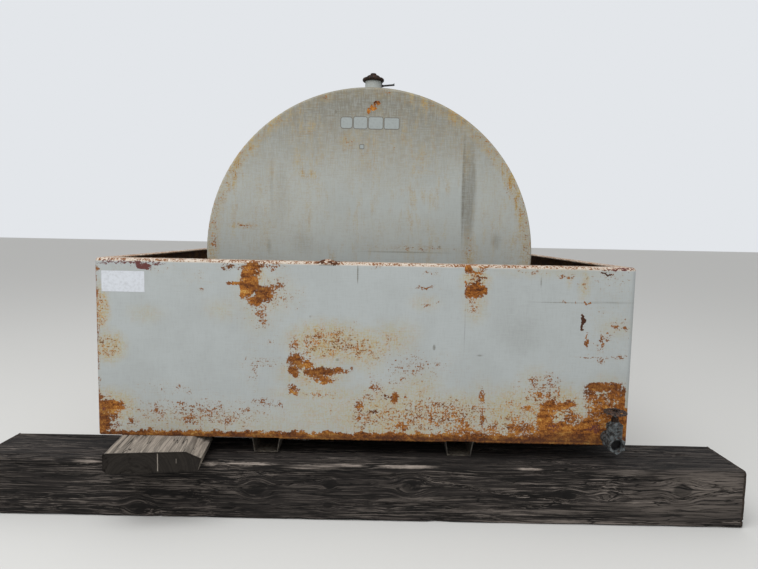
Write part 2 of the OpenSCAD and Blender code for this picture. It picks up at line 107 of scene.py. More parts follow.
# Marks are ovals on an upright face: middle across and up, half width and half height, all in mm, and how
# dense the mark is. On the basin they go from the middle of the wall's foot, on a head from the tank's axis.
WALL_RUST = (
    # The left edge and corner
    (-1212, 745, 14, 60, 0.6), (-1212, 640, 16, 50, 0.6), (-1208, 480, 18, 70, 0.55),
    (-1215, 350, 14, 50, 0.55), (-1222, 240, 10, 60, 0.45), (-1190, 400, 40, 60, 0.4),
    (-1215, 110, 40, 80, 1.0), (-1160, 138, 75, 28, 0.95), (-1160, 105, 66, 52, 0.68),
    (-1150, 50, 80, 25, 0.5), (-1212, 430, 20, 400, 0.52), (-1205, 60, 50, 60, 1.0),
    # Spots along the foot on the left
    (-1060, 65, 30, 28, 0.6), (-945, 125, 14, 35, 0.5), (-930, 75, 35, 15, 0.45), (-830, 150, 45, 20, 0.45),
    (-790, 70, 45, 30, 0.6), (-722, 100, 8, 30, 0.55), (-620, 80, 30, 30, 0.5), (-535, 125, 25, 14, 0.55),
    (-450, 165, 90, 25, 0.48), (-760, 105, 440, 90, 0.42), (-390, 160, 22, 25, 0.5),
    (-370, 225, 30, 16, 0.5), (-880, 220, 190, 50, 0.33),
    # Flecks high on the left
    (-440, 650, 170, 120, 0.38), (-725, 672, 34, 16, 0.5), (-680, 682, 18, 12, 0.5),
    (-730, 735, 110, 60, 0.3), (-1000, 770, 200, 30, 0.3),
    # The upper left patch with its fringes and its trail
    (-505, 785, 62, 34, 0.8), (-515, 705, 60, 34, 1.0), (-540, 672, 32, 32, 0.95), (-455, 665, 50, 42, 0.85),
    (-202, 812, 24, 8, 1.0), (-142, 812, 24, 8, 1.0), (-490, 635, 48, 28, 0.8), (-400, 695, 60, 26, 0.53),
    (-370, 645, 60, 34, 0.42), (-610, 785, 52, 22, 0.56), (-590, 708, 32, 8, 0.75), (-592, 690, 30, 22, 0.5),
    (-410, 790, 70, 24, 0.5), (-520, 745, 44, 30, 0.85), (-475, 590, 42, 52, 0.55),
    (-468, 535, 52, 32, 0.45),
    # The band in the middle
    (-310, 365, 44, 40, 0.72), (-318, 312, 34, 35, 0.72), (-265, 345, 44, 24, 0.75),
    (-200, 312, 80, 28, 0.8), (-440, 330, 110, 170, 0.4), (-120, 450, 230, 100, 0.38),
    (-190, 277, 75, 22, 0.65), (-110, 320, 62, 16, 0.7), (-60, 332, 22, 12, 0.5), (-318, 220, 30, 28, 0.66),
    (-210, 208, 115, 13, 0.5), (-318, 435, 32, 42, 0.5), (-430, 370, 55, 75, 0.4), (-250, 390, 60, 34, 0.42),
    (-150, 410, 110, 70, 0.32),
    # Clusters low in the middle
    (-20, 160, 34, 32, 0.6), (0, 100, 70, 70, 0.5), (55, 240, 52, 26, 0.55), (100, 205, 30, 20, 0.6),
    (143, 195, 18, 34, 0.72), (20, 195, 34, 32, 0.5), (190, 205, 18, 14, 0.55), (60, 130, 42, 9, 0.62),
    (60, 95, 52, 20, 0.52), (180, 65, 40, 26, 0.65), (70, 390, 60, 42, 0.36), (110, 450, 52, 62, 0.33),
    (150, 340, 52, 32, 0.42), (190, 290, 52, 26, 0.44), (280, 280, 62, 26, 0.4),
    # Runs up from the foot
    (330, 110, 430, 120, 0.46), (200, 330, 230, 110, 0.38), (310, 110, 20, 62, 0.6), (335, 80, 16, 52, 0.52),
    (230, 110, 160, 80, 0.45), (420, 150, 60, 60, 0.45), (455, 100, 12, 62, 0.62), (480, 70, 22, 42, 0.6),
    (505, 165, 22, 12, 0.58), (540, 215, 15, 46, 0.58), (545, 110, 20, 70, 0.62), (600, 70, 32, 52, 0.58),
    (500, 45, 210, 32, 0.58),
    # Flecks and scratches under the rim
    (290, 775, 50, 20, 0.46), (270, 705, 75, 6, 0.52), (325, 645, 25, 6, 0.52), (270, 625, 30, 16, 0.42),
    (55, 795, 42, 10, 0.5), (740, 785, 80, 7, 0.52), (880, 775, 22, 16, 0.56), (910, 768, 26, 14, 0.56),
    (900, 657, 26, 7, 0.52), (950, 645, 9, 8, 0.7), (1000, 648, 11, 6, 0.7), (1075, 785, 30, 6, 1.05),
    # The upper right patch
    (498, 696, 56, 30, 1.1), (540, 688, 18, 16, 1.05), (495, 780, 46, 6, 0.78), (525, 757, 26, 5, 0.8),
    (495, 735, 52, 54, 0.55), (460, 795, 22, 12, 0.8), (530, 795, 26, 12, 0.62), (480, 630, 32, 46, 0.52),
    (535, 650, 16, 16, 0.46), (505, 610, 16, 32, 0.46), (446, 715, 6, 30, 0.8),
    # Smears on the right
    (987, 565, 10, 38, 1.05), (1006, 480, 7, 40, 0.7), (985, 740, 14, 60, 0.42), (1130, 545, 26, 13, 0.58),
    (1180, 540, 22, 13, 0.52), (1160, 575, 52, 22, 0.38), (1100, 495, 22, 26, 0.5), (1075, 480, 8, 50, 0.62),
    (1080, 385, 26, 20, 0.46), (1060, 400, 140, 6, 0.48), (1170, 412, 42, 12, 0.46),
    (1204, 600, 8, 230, 0.6), (1095, 560, 130, 240, 0.27), (1090, 760, 130, 50, 0.33),
    (1120, 806, 120, 8, 0.62),
    # Clusters and the wide rust low on the right
    (840, 220, 190, 120, 0.46), (775, 285, 36, 36, 0.6), (840, 295, 16, 42, 0.52), (885, 310, 12, 26, 0.46),
    (840, 220, 26, 20, 0.66), (800, 225, 16, 26, 0.6), (755, 165, 42, 26, 0.62), (680, 190, 32, 42, 0.42),
    (950, 290, 32, 12, 0.5), (850, 170, 46, 42, 0.8), (830, 110, 42, 62, 0.85), (920, 180, 62, 26, 0.75),
    (950, 115, 60, 62, 0.62), (900, 55, 120, 48, 1.0), (740, 60, 130, 48, 0.66), (720, 110, 90, 52, 0.5),
    (1100, 150, 100, 110, 0.7), (1100, 268, 100, 26, 0.85), (1185, 140, 32, 140, 0.95),
    (1090, 40, 120, 44, 1.05), (1210, 85, 26, 90, 1.1), (1035, 230, 40, 46, 0.66), (1150, 230, 48, 46, 0.72),
    (1040, 60, 60, 70, 1.05),
)
# Paint that has held on: straight-edged where something covered the wall, as left, right, low and high
WALL_KEPT = (
    (-720, -563, 590, 700, 0.5), (-720, -563, 718, 765, 0.45), (-480, -345, 190, 330, 0.3),
    (-480, -345, 375, 430, 0.2), (380, 443, 560, 820, 0.6), (552, 620, 560, 820, 0.6),
    (900, 1000, 215, 330, 0.25), (1000, 1210, 292, 340, 0.5), (-478, -456, 702, 735, 0.7),
    (-540, -470, 740, 752, 0.2), (1196, 1214, 170, 805, 0.4),
)
# Yellow-brown wash of rust water over sound paint
WALL_STAIN = (
    (-1190, 590, 38, 95, 0.9), (-1160, 410, 75, 65, 0.9), (-1150, 130, 115, 75, 0.8),
    (-985, 565, 70, 35, 0.3), (-650, 590, 60, 42, 0.35), (-800, 60, 460, 70, 0.5), (-505, 745, 56, 62, 0.9),
    (-450, 660, 110, 85, 0.5), (-480, 570, 65, 75, 0.35), (-170, 450, 160, 85, 0.95),
    (-20, 430, 130, 80, 0.85), (-230, 300, 140, 65, 0.72), (-200, 210, 180, 34, 0.65),
    (-150, 120, 210, 90, 0.5), (-640, 40, 640, 90, 0.42), (120, 470, 90, 60, 0.62), (20, 380, 65, 65, 0.52),
    (180, 480, 65, 65, 0.36), (150, 110, 290, 130, 0.8), (250, 230, 95, 85, 0.58),
    (420, 110, 200, 110, 0.75), (540, 130, 62, 115, 0.62), (780, 120, 290, 130, 0.85),
    (900, 140, 130, 115, 0.92), (1100, 135, 112, 145, 1.0), (497, 738, 54, 62, 0.95),
    (497, 640, 46, 72, 0.6), (985, 740, 20, 62, 0.62), (915, 765, 16, 36, 0.5), (840, 785, 210, 22, 0.32),
    (780, 290, 65, 52, 0.42), (1130, 540, 65, 42, 0.36), (270, 640, 55, 32, 0.36),
)
# Rust that has gone dark brown
WALL_DARK = (
    (-470, 680, 52, 44, 0.5), (-1195, 90, 60, 90, 0.45), (-500, 800, 70, 20, 0.45), (-530, 700, 50, 12, 0.5),
    (-230, 300, 110, 22, 0.35), (-200, 812, 26, 9, 0.9), (-142, 812, 26, 9, 0.9), (-610, 785, 56, 30, 0.6),
    (-200, 312, 72, 24, 0.5), (545, 684, 14, 12, 0.4), (1075, 785, 32, 8, 1.0), (987, 565, 16, 44, 1.0),
    (1015, 255, 28, 28, 0.6), (1100, 270, 100, 16, 0.55), (900, 30, 150, 24, 0.6), (1000, 25, 220, 22, 0.6),
    (525, 757, 26, 8, 0.4), (55, 132, 44, 12, 0.8), (-310, 340, 44, 50, 0.4), (100, 205, 34, 24, 0.6),
)
# Maroon primer that shows where the top coat has worn off
WALL_PRIMER = (
    (-995, 780, 40, 20, 0.72), (-935, 795, 34, 12, 0.5), (-1060, 796, 190, 8, 0.62),
    (-1222, 800, 20, 20, 0.6), (1130, 806, 110, 7, 0.6), (1062, 72, 34, 40, 0.5), (880, 75, 50, 26, 0.5),
    (-1195, 120, 30, 30, 0.4),
)
# Scratches and smudges
WALL_SCRATCHES = (
    (-34, 762, 3, 40, 1.0), (317, 435, 6, 12, 1.0), (525, 402, 10, 4, 0.7), (905, 651, 130, 2, 0.7),
    (453, 520, 2, 100, 0.35), (700, 540, 90, 110, 0.13), (789, 742, 3, 20, 0.7), (-120, 370, 8, 6, 0.9),
    (-225, 415, 8, 8, 0.9), (-245, 565, 4, 5, 0.5), (1110, 655, 90, 4, 0.4),
)
HEAD_STAIN = (
    (-775, 60, 32, 120, 0.9), (-745, 270, 36, 65, 0.72), (-690, 385, 48, 42, 0.62),
    (-630, 127, 75, 18, 0.85), (-475, 127, 28, 12, 0.6), (-620, 330, 95, 170, 0.35),
    (-590, 500, 42, 62, 0.45), (-450, 645, 62, 42, 0.6), (-225, 758, 58, 26, 0.78), (-60, 790, 130, 26, 0.5),
    (-350, 470, 52, 85, 0.55), (-320, 385, 78, 24, 0.7), (-280, 615, 46, 62, 0.5), (-350, 580, 62, 95, 0.36),
    (-115, 550, 46, 55, 0.9), (-105, 400, 20, 95, 0.42), (60, 790, 110, 22, 0.62), (110, 545, 14, 52, 0.7),
    (0, 540, 130, 62, 0.48), (260, 405, 78, 12, 0.55), (338, 360, 11, 46, 0.5), (490, 30, 26, 110, 0.62),
    (480, 620, 42, 62, 0.5), (210, 30, 270, 26, 0.42), (640, 300, 125, 360, 0.3), (720, 40, 62, 115, 0.36),
    (-480, 250, 280, 360, 0.36), (0, 520, 480, 200, 0.4), (60, 120, 380, 90, 0.25),
    (420, 560, 150, 160, 0.4),
)
HEAD_RUST = (
    (-13, 696, 10, 16, 0.9), (6, 714, 18, 12, 0.85), (28, 734, 20, 12, 0.85), (-225, 758, 42, 16, 0.42),
    (-630, 127, 72, 12, 0.44), (-320, 385, 62, 15, 0.36), (-115, 545, 42, 46, 0.36), (110, 540, 9, 42, 0.38),
    (495, 40, 15, 95, 0.4), (490, 495, 15, 62, 0.38), (-690, 385, 36, 26, 0.38), (-775, 40, 22, 95, 0.44),
    (220, 30, 260, 14, 0.36), (690, 330, 32, 42, 0.4), (-450, 645, 40, 26, 0.38), (100, 785, 40, 16, 0.4),
)
HEAD_DIRT = (
    (461, 380, 8, 290, 1.0), (488, 360, 34, 290, 0.8), (480, 600, 42, 62, 0.5), (-487, 430, 9, 180, 0.4),
    (-440, 440, 36, 200, 0.3), (180, 11, 165, 3, 0.7), (-175, 690, 6, 8, 3.0), (460, 662, 10, 10, 3.0),
    (632, 75, 22, 32, 0.5), (350, 40, 6, 6, 0.9), (-500, 30, 8, 26, 0.5), (-330, 50, 40, 46, 0.25),
)
# Blank films on the front head, as left, right, low and high from the tank's axis and a corner radius in mm
FILMS = {
    "film_left": (-152, -91, 610, 668, 15), "film_middle_left": (-89, -18, 609, 671, 12),
    "film_middle_right": (-16, 59, 609, 671, 12), "film_right": (61, 138, 610, 668, 10),
    "film_tag": (-57, -33, 513, 537, 5),
}
# The blank sticker and the buckle in the rim, from the middle of the front wall's foot
STICKER = (-1184, -990, 661, 756)
BUCKLE = (-228, -116)
# Pale splits in the plank's end, as left, right, low and high from its lower left corner
PLANK_SPLITS = ((223, 226, 8, 84, 0.8), (300, 302, 40, 60, 0.5))
# Knots in the front of the bearer, and places where it has splintered pale, from the middle of its foot.
# # Along the top front edge the pale marks are also painted highlight.
KNOTS = (
    (-1006, 45, 34, 26), (-471, 145, 36, 28), (-150, 164, 20, 14), (-149, 70, 20, 14), (226, 165, 40, 28),
    (936, 139, 30, 16), (1099, 136, 26, 14), (1446, 172, 40, 28),
)
WORN_AND_LIT_EDGE = (
    (-1230, 257, 60, 9, 0.9), (-680, 257, 36, 9, 1.0), (-515, 260, 115, 10, 1.2), (-220, 250, 110, 12, 0.8),
    (-50, 262, 75, 9, 0.9), (200, 262, 115, 10, 1.3), (755, 260, 50, 8, 1.0), (1200, 255, 90, 12, 0.5),
    (1560, 200, 230, 70, 0.5), (1450, 110, 300, 60, 0.4), (1050, 15, 420, 10, 0.7), (300, 110, 160, 8, 0.45),
    (-760, 150, 200, 10, 0.4), (650, 60, 260, 9, 0.45),
)

# A range that starts and ends gently
SMOOTH = {"interpolation_type": "SMOOTHSTEP", "clamp": False}
# A mix of two colours, with its sockets for the share of the second one and for the two
COLOURS = {"pick": 2, "data_type": "RGBA"}
SHARE, UNDER, OVER = 0, 6, 7


def linear(code):
    """Turns an sRGB hex colour into the linear colour that nodes take."""
    parts = [int(code[i:i + 2], 16) / 255 for i in (1, 3, 5)]
    return tuple(p / 12.92 if p <= 0.04045 else ((p + 0.055) / 1.055) ** 2.4 for p in parts)


def tint(code):
    """The same with the fourth number that a colour socket takes."""
    return (*linear(code), 1.0)


def shade(name, description, code):
    """A colour that the panel shows."""
    return FloatVectorProperty(
        name=name, description=description, subtype="COLOR", size=4, min=0, max=1, default=tint(code))


def length(name, description, size, most):
    """A length that the panel shows."""
    return FloatProperty(
        name=name, description=description, subtype="DISTANCE", default=size, min=0, max=most)


class TankLooks(bpy.types.PropertyGroup):
    """Colours of the tank and its basin"""
    tank_paint: shade("Tank paint", "Chalky paint on the tank", "#9ca19f")
    basin_paint: shade("Basin paint", "Chalky paint on the basin", "#a1a6a6")
    # The rim's colour is bleached paint, and painted highlight where the bend faces the sky
    rim_paint_and_highlight: shade("Rim paint", "Bleached paint on the basin's rim, paler still as painted highlight on its bend", "#c0b5a9")
    stain: shade("Rust water", "Wash of rust water over the basin's paint", "#a1966a")
    old_stain: shade("Old rust water", "Older wash of rust water over the basin's paint", "#a6864a")
    tank_stain: shade("Tank wash", "Wash of rust water over the tank's paint", "#9a8a62")
    old_tank_stain: shade("Old tank wash", "Older wash of rust water over the tank's paint", "#8e7343")
    primer: shade("Primer", "Maroon primer under the paint", "#5a302d")
    dirt: shade("Dirt", "Grey dirt on the paint", "#6a6961")
    bead: length("Weld bead", "Width of a weld bead", 8 * MM, 20 * MM)
    buckle: length("Rim buckle", "Height of the buckle in the basin's rim", 12 * MM, 20 * MM)


class TimberLooks(bpy.types.PropertyGroup):
    """Wear and colours of the bearers and the plank"""
    creosote: shade("Creosote", "Creosoted wood", "#272321")
    worn: shade("Worn wood", "Wood worn pale along the edges, also painted highlight on the top front edge", "#8c827a")
    plank: shade("Plank", "Weathered plank", "#8f867c")
    # The plank's end faces the camera: dirty end grain, with painted shade for the shade on that face
    plank_end_and_shade: shade("Plank end", "Dark end grain of the plank, darkened further as painted shade", "#26221e")
    groove: length("Groove depth", "Depth of the weathered grain", 1.5 * MM, 6 * MM)
    check: length("Check depth", "Depth of the long drying cracks", 8 * MM, 20 * MM)
    wear: length("Edge wear", "Wood that is worn off along the edges", 5 * MM, 20 * MM)


class StageLooks(bpy.types.PropertyGroup):
    """Camera, floor and light"""
    lens: FloatProperty(
        name="Lens", description="Focal length of the camera in mm", default=27.07, min=10, max=100)
    back: length("Camera distance", "Distance of the camera from the basin front", 2.546, 10)
    right: length("Camera to the right", "Distance of the camera from the middle of the basin", 0.062, 2)
    height: length("Camera height", "Height of the camera over the underside of the basin", 0.945, 4)
    pitch: FloatProperty(
        name="Pitch", description="Tilt of the camera downwards", subtype="ANGLE",
        default=math.radians(5.13), min=-1, max=1)
    roll: FloatProperty(
        name="Roll", description="Roll of the camera", subtype="ANGLE",
        default=math.radians(1.13), min=-1, max=1)
    floor: shade("Floor", "Colour of the floor", "#c9c9c7")
    backdrop: shade("Backdrop", "Colour behind the object", "#e3e6ea")
    sky: FloatProperty(
        name="Sky", description="Strength of the light from all round", default=0.75, min=0, max=4)
    key: FloatProperty(
        name="Key light", description="Power of the soft light over the camera in watts",
        default=420, min=0, max=5000)


def add(tree, kind, links=(), pick=0, stops=(), **settings):
    """Adds one node and sets it. The kind can name an operation too. Inputs are given in order or by name,
    each as a socket or a value, and None leaves one out. Stops fill a colour ramp. Gives back the picked
    output."""
    kind, *operation = kind.split()
    made = tree.nodes.new("ShaderNode" + kind)
    if operation:
        made.operation = operation[0]
    for key, value in settings.items():
        setattr(made, key, value)
    for key, value in (links.items() if isinstance(links, dict) else enumerate(links)):
        if isinstance(value, bpy.types.NodeSocket):
            tree.links.new(value, made.inputs[key])
        elif value is not None:
            made.inputs[key].default_value = value
    for i, (place, code) in enumerate(stops):
        if i >= len(made.color_ramp.elements):
            made.color_ramp.elements.new(1.0)
        made.color_ramp.elements[i].position = place
        made.color_ramp.elements[i].color = tint(code)
    return made.outputs[pick] if made.outputs else None


def new_material(name):
    """An empty material, its tree, and its place in mm from the origin of the part."""
    made = bpy.data.materials.new(name)
    made.use_nodes = True
    tree = made.node_tree
    tree.nodes.clear()
    at = add(tree, "TexCoord", pick="Object")
    return made, tree, add(tree, "VectorMath MULTIPLY", (at, (1 / MM,) * 3))


def close_material(tree, colour, roughness, relief=None, depth=1.0, share=1.0, metallic=0.0, specular=0.3):
    """Joins a colour, a roughness and a relief, depth mm high where its share is 1, to the surface."""
    links = {"Base Color": colour, "Roughness": roughness}
    links.update({"Metallic": metallic, "Specular IOR Level": specular})
    if relief is not None:
        links["Normal"] = add(tree, "Bump", {"Height": relief, "Distance": depth * MM, "Strength": share})
    add(tree, "OutputMaterial", (add(tree, "BsdfPrincipled", links),))


def cloudy(tree, at, size, stretch=(1, 1, 1), low=None, high=None, detail=3.0, rough=0.6, shift=0.0):
    """A cloudy pattern whose clouds are size mm wide, or longer along a stretched axis. It runs from 0 to 1
    between the low and the high level of the noise."""
    scaled = add(tree, "Mapping", (
        at, (shift, shift * 2, shift * 3), None, tuple(1 / (size * s) for s in stretch)))
    level = add(tree, "TexNoise", {"Vector": scaled, "Scale": 1.0, "Detail": detail, "Roughness": rough})
    if low is None:
        return level
    return add(tree, "MapRange", (level, low, high), **SMOOTH)


def loosened(tree, flat, at, size, reach):
    """Moves each place of a flat pattern about, in lumps size mm wide, so that its edges come out ragged."""
    lumps = add(tree, "TexNoise", {
        "Vector": add(tree, "VectorMath MULTIPLY", (at, (1 / size,) * 3)),
        "Scale": 1.0, "Detail": 3.0, "Roughness": 0.6}, "Color")
    moved = add(tree, "VectorMath MULTIPLY_ADD", (lumps, (reach,) * 3, (-reach / 2,) * 3))
    return add(tree, "VectorMath ADD", (flat, moved))


def oval(tree, flat, across, up, half_w, half_h):
    """Where a place lies from the middle of an oval, and how far off it is. The oval's edge is 1 off."""
    local = add(tree, "VectorMath MULTIPLY_ADD", (
        flat, (1 / half_w, 1 / half_h, 0), (-across / half_w, -up / half_h, 0)))
    return local, add(tree, "VectorMath LENGTH", (local,), "Value")


def ovals(tree, flat, table, soft=0.4, weak=0.7, softest=0.9):
    """The strongest of several soft-edged ovals on a flat pattern. The weak ones have the softest edge."""
    best = 0.0
    for *place, strength in table:
        off = oval(tree, flat, *place)[1]
        fade = soft if strength > weak else softest
        mark = add(tree, "MapRange", (off, 1 + fade, 1 - fade, 0, strength), **SMOOTH)
        best = add(tree, "Math MAXIMUM", (best, mark))
    return best


def greater(tree, off):
    """The greater of the first two parts of a vector."""
    parts = [add(tree, "VectorMath DOT_PRODUCT", (off, way), "Value") for way in (X, Y)]
    return add(tree, "Math MAXIMUM", parts)


def boxes(tree, flat, table, soft=4.0):
    """The strongest of several straight-edged marks on a flat pattern. Edges fade soft mm to either side."""
    best = 0.0
    for left, right, low, high, strength in table:
        off = add(tree, "VectorMath SUBTRACT", (flat, ((left + right) / 2, (low + high) / 2, 0)))
        off = add(tree, "VectorMath ABSOLUTE", (off,))
        off = add(tree, "VectorMath SUBTRACT", (off, ((right - left) / 2, (high - low) / 2, 0)))
        mark = add(tree, "MapRange", (greater(tree, off), soft, -soft, 0, strength), **SMOOTH)
        best = add(tree, "Math MAXIMUM", (best, mark))
    return best


def on_face(tree, at, x, z):
    """How far across and up, in mm, a place lies from x and z."""
    moved = add(tree, "VectorMath SUBTRACT", (at, (x / MM, 0, z / MM)))
    return [add(tree, "VectorMath DOT_PRODUCT", (moved, way), "Value") for way in (X, Z)]


def rust_scale(tree, at):
    """Steel that has rusted outdoors: dark brown scale, orange bloom and yellow dust. Gives back its colour
    and its relief."""
    parts = add(tree, "CombineXYZ", (
        cloudy(tree, at, 30, stretch=(3, 3, 1), rough=0.7, shift=3.1),
        cloudy(tree, at, 14, rough=0.7, shift=6.4),
        cloudy(tree, at, 5, rough=0.7, shift=8.7)))
    level = add(tree, "VectorMath DOT_PRODUCT", (parts, (0.4, 0.3, 0.3)), "Value")
    spread = add(tree, "MapRange", (level, 0.4, 0.61))
    return add(tree, "ValToRGB", (spread,), stops=RUST_SCALE), level


def dulled_paint(tree, at, paint, looks, weave, dirt):
    """The colour of paint gone chalky, with a faint film of dirt all over and more where dirt says so."""
    chalk = cloudy(tree, at, 200, low=0.35, high=0.65, shift=1.7)
    chalk = add(tree, "Math MULTIPLY", (chalk, 0.1))
    faint = add(tree, "MapRange", (weave, 0.9, 1.25, 0, 0.1), **SMOOTH)
    grime = add(tree, "MapRange", (weave, 0.8, 1.12, 0.6, 1.0), **SMOOTH)
    grime = add(tree, "Math MULTIPLY", (grime, dirt))
    for share in (chalk, faint, grime):
        paint = add(tree, "Mix", {SHARE: share, UNDER: paint, OVER: looks.dirt}, **COLOURS)
    return paint


def weathered_paint(tree, at, paint, looks, washes, rust, stain, dark=0.0, primer=0.0, dirt=0.0, pull=0.42):
    """Chalky paint over steel. Rust, stain, primer and dirt say from 0 to 1 how far each has gone, and dark
    how brown the rust is. The washes are the colours of fresh and of old rust water. The pull says how much
    rust and primer weigh against the noise. Gives back colour, roughness, relief and the share of rust."""
    # The noise that rust and primer are added to, from clouds of three sizes and strokes that run two ways
    fine = cloudy(tree, at, 8, rough=0.7, shift=5.3)
    middling = cloudy(tree, at, 22, shift=0.9)
    broad = cloudy(tree, at, 110, detail=2, shift=7.9)
    upright = cloudy(tree, at, 5, stretch=(1, 1, 10), rough=0.7, shift=4.4)
    lengthwise = cloudy(tree, at, 5, stretch=(12, 12, 1), rough=0.7, shift=2.6)
    parts = add(tree, "CombineXYZ", (fine, middling, broad))
    parts = add(tree, "VectorMath DOT_PRODUCT", (parts, (0.48, 0.2, 0.1)), "Value")
    strokes = add(tree, "CombineXYZ", (upright, lengthwise, parts))
    level = add(tree, "VectorMath DOT_PRODUCT", (strokes, (0.07, 0.15, 1.0)), "Value")
    reached = add(tree, "Math MULTIPLY_ADD", (rust, pull, level))
    eaten = add(tree, "MapRange", (reached, 0.685, 0.735), **SMOOTH)
    halo = add(tree, "MapRange", (reached, 0.57, 0.72, 0, 0.75), **SMOOTH)
    dense = add(tree, "MapRange", (rust, 0.42, 0.8), **SMOOTH)
    dense = add(tree, "Math MAXIMUM", (dense, stain))
    near = add(tree, "Math MULTIPLY_ADD", (dense, 0.8, 0.2))
    halo = add(tree, "Math MULTIPLY", (halo, near))

    # The dulled paint, then the wash over it, the rust, and last the primer where the top coat has worn off
    weave = add(tree, "Math ADD", (upright, lengthwise))
    colour = dulled_paint(tree, at, paint, looks, weave, dirt)
    grain = add(tree, "CombineXYZ", (fine, upright, lengthwise))
    grain = add(tree, "VectorMath DOT_PRODUCT", (grain, (0.5, 0.25, 0.25)), "Value")
    grain = add(tree, "MapRange", (grain, 0.43, 0.57, 0.3, 1.0), **SMOOTH)
    wash = add(tree, "Math MAXIMUM", (stain, halo))
    wash = add(tree, "Math MULTIPLY", (wash, grain))
    age = add(tree, "MapRange", (middling, 0.4, 0.66), **SMOOTH)
    age = add(tree, "Math MAXIMUM", (age, halo))
    tan = add(tree, "Mix", {SHARE: age, UNDER: washes[0], OVER: washes[1]}, **COLOURS)
    colour = add(tree, "Mix", {SHARE: wash, UNDER: colour, OVER: tan}, **COLOURS)
    scale_colour, relief = rust_scale(tree, at)
    scale_colour = add(tree, "Mix", {SHARE: dense, UNDER: tint(THIN_RUST), OVER: scale_colour}, **COLOURS)
    scale_colour = add(tree, "Mix", {SHARE: dark, UNDER: scale_colour, OVER: tint(DARK_RUST)}, **COLOURS)
    colour = add(tree, "Mix", {SHARE: eaten, UNDER: colour, OVER: scale_colour}, **COLOURS)
    bare = add(tree, "Math MULTIPLY_ADD", (primer, pull, level))
    bare = add(tree, "MapRange", (bare, 0.67, 0.74), **SMOOTH)
    colour = add(tree, "Mix", {SHARE: bare, UNDER: colour, OVER: looks.primer}, **COLOURS)
    roughness = add(tree, "MapRange", (eaten, 0.0, 1.0, 0.62, 0.92), **SMOOTH)
    return colour, roughness, relief, eaten


def inner_faces(tree, at, height, tall=9.0, lip=16):
    """1 on the inner faces of the basin's thin walls, which follow a tall box with round corners, and 0 on
    their outer faces and on the lip, so many mm from the top."""
    half = Vector((HALF_W, (REAR_Y - FRONT_Y) / 2, tall)) / MM
    off = add(tree, "VectorMath SUBTRACT", (at, (0, MID_Y / MM, 0)))
    off = add(tree, "VectorMath ABSOLUTE", (off,))
    off = add(tree, "VectorMath SUBTRACT", (off, half - Vector((CORNER, CORNER, 0)) / MM))
    beyond = add(tree, "VectorMath MAXIMUM", (off, (0, 0, 0)))
    beyond = add(tree, "VectorMath LENGTH", (beyond,), "Value")
    within = add(tree, "Math MINIMUM", (greater(tree, off), 0.0))
    depth = add(tree, "Math ADD", (beyond, within))
    inside = add(tree, "Math LESS_THAN", (depth, (CORNER - PLATE / 2) / MM))
    below = add(tree, "Math LESS_THAN", (height, (RIM_Z - UNDER_Z) / MM - lip))
    return add(tree, "Math MULTIPLY", (inside, below))


def front_wall_marks(tree, at, across, height, lean=-0.009):
    """Rust, stain, how brown the rust is, primer and dirt on the front wall, from its tables. The rust along
    the foot stands a little higher to the right, by the lean, and stain brings specks of rust with it."""
    flat = add(tree, "CombineXYZ", (across, height))
    ragged = loosened(tree, flat, at, 30, 60)
    uneven = add(tree, "VectorMath DOT_PRODUCT", (ragged, Y), "Value")
    uneven = add(tree, "Math MULTIPLY_ADD", (across, lean, uneven))
    foot = add(tree, "MapRange", (uneven, 56, 12), **SMOOTH)
    rust = add(tree, "Math MAXIMUM", (ovals(tree, ragged, WALL_RUST, 0.7), foot))
    rust = add(tree, "Math SUBTRACT", (rust, boxes(tree, flat, WALL_KEPT)))
    stain = add(tree, "Math MAXIMUM", (ovals(tree, ragged, WALL_STAIN, 0.6), foot))
    dark = add(tree, "MapRange", (uneven, 40, -4, 0.12, 0.85), **SMOOTH)
    dark = add(tree, "Math MAXIMUM", (ovals(tree, ragged, WALL_DARK), dark))
    specks = add(tree, "Math MULTIPLY", (stain, 0.46))
    rust = add(tree, "Math MAXIMUM", (rust, specks))
    return rust, stain, dark, ovals(tree, ragged, WALL_PRIMER), ovals(tree, flat, WALL_SCRATCHES)


def plain_wall_marks(tree, at, height):
    """The same five on the other walls, with rust that has grown from the foot and a few lumps higher up."""
    hills = cloudy(tree, at, 260, detail=5, rough=0.7, shift=2.2)
    uneven = add(tree, "Math MULTIPLY_ADD", (hills, -520.0, height))
    foot = add(tree, "MapRange", (uneven, 140, -300, 0.12, 0.9), **SMOOTH)
    lumps = cloudy(tree, at, 300, low=0.5, high=0.74, shift=7.7)
    rust = add(tree, "Math MULTIPLY", (lumps, 0.6))
    rust = add(tree, "Math MAXIMUM", (rust, foot))
    runs = cloudy(tree, at, 55, stretch=(1, 1, 30), low=0.42, high=0.7, shift=6.1)
    stain = add(tree, "Math MULTIPLY_ADD", (runs, 0.8, 0.06))
    stain = add(tree, "Math MAXIMUM", (stain, foot))
    dark, primer, dirt = 0.1, 0.0, 0.0
    return rust, stain, dark, primer, dirt


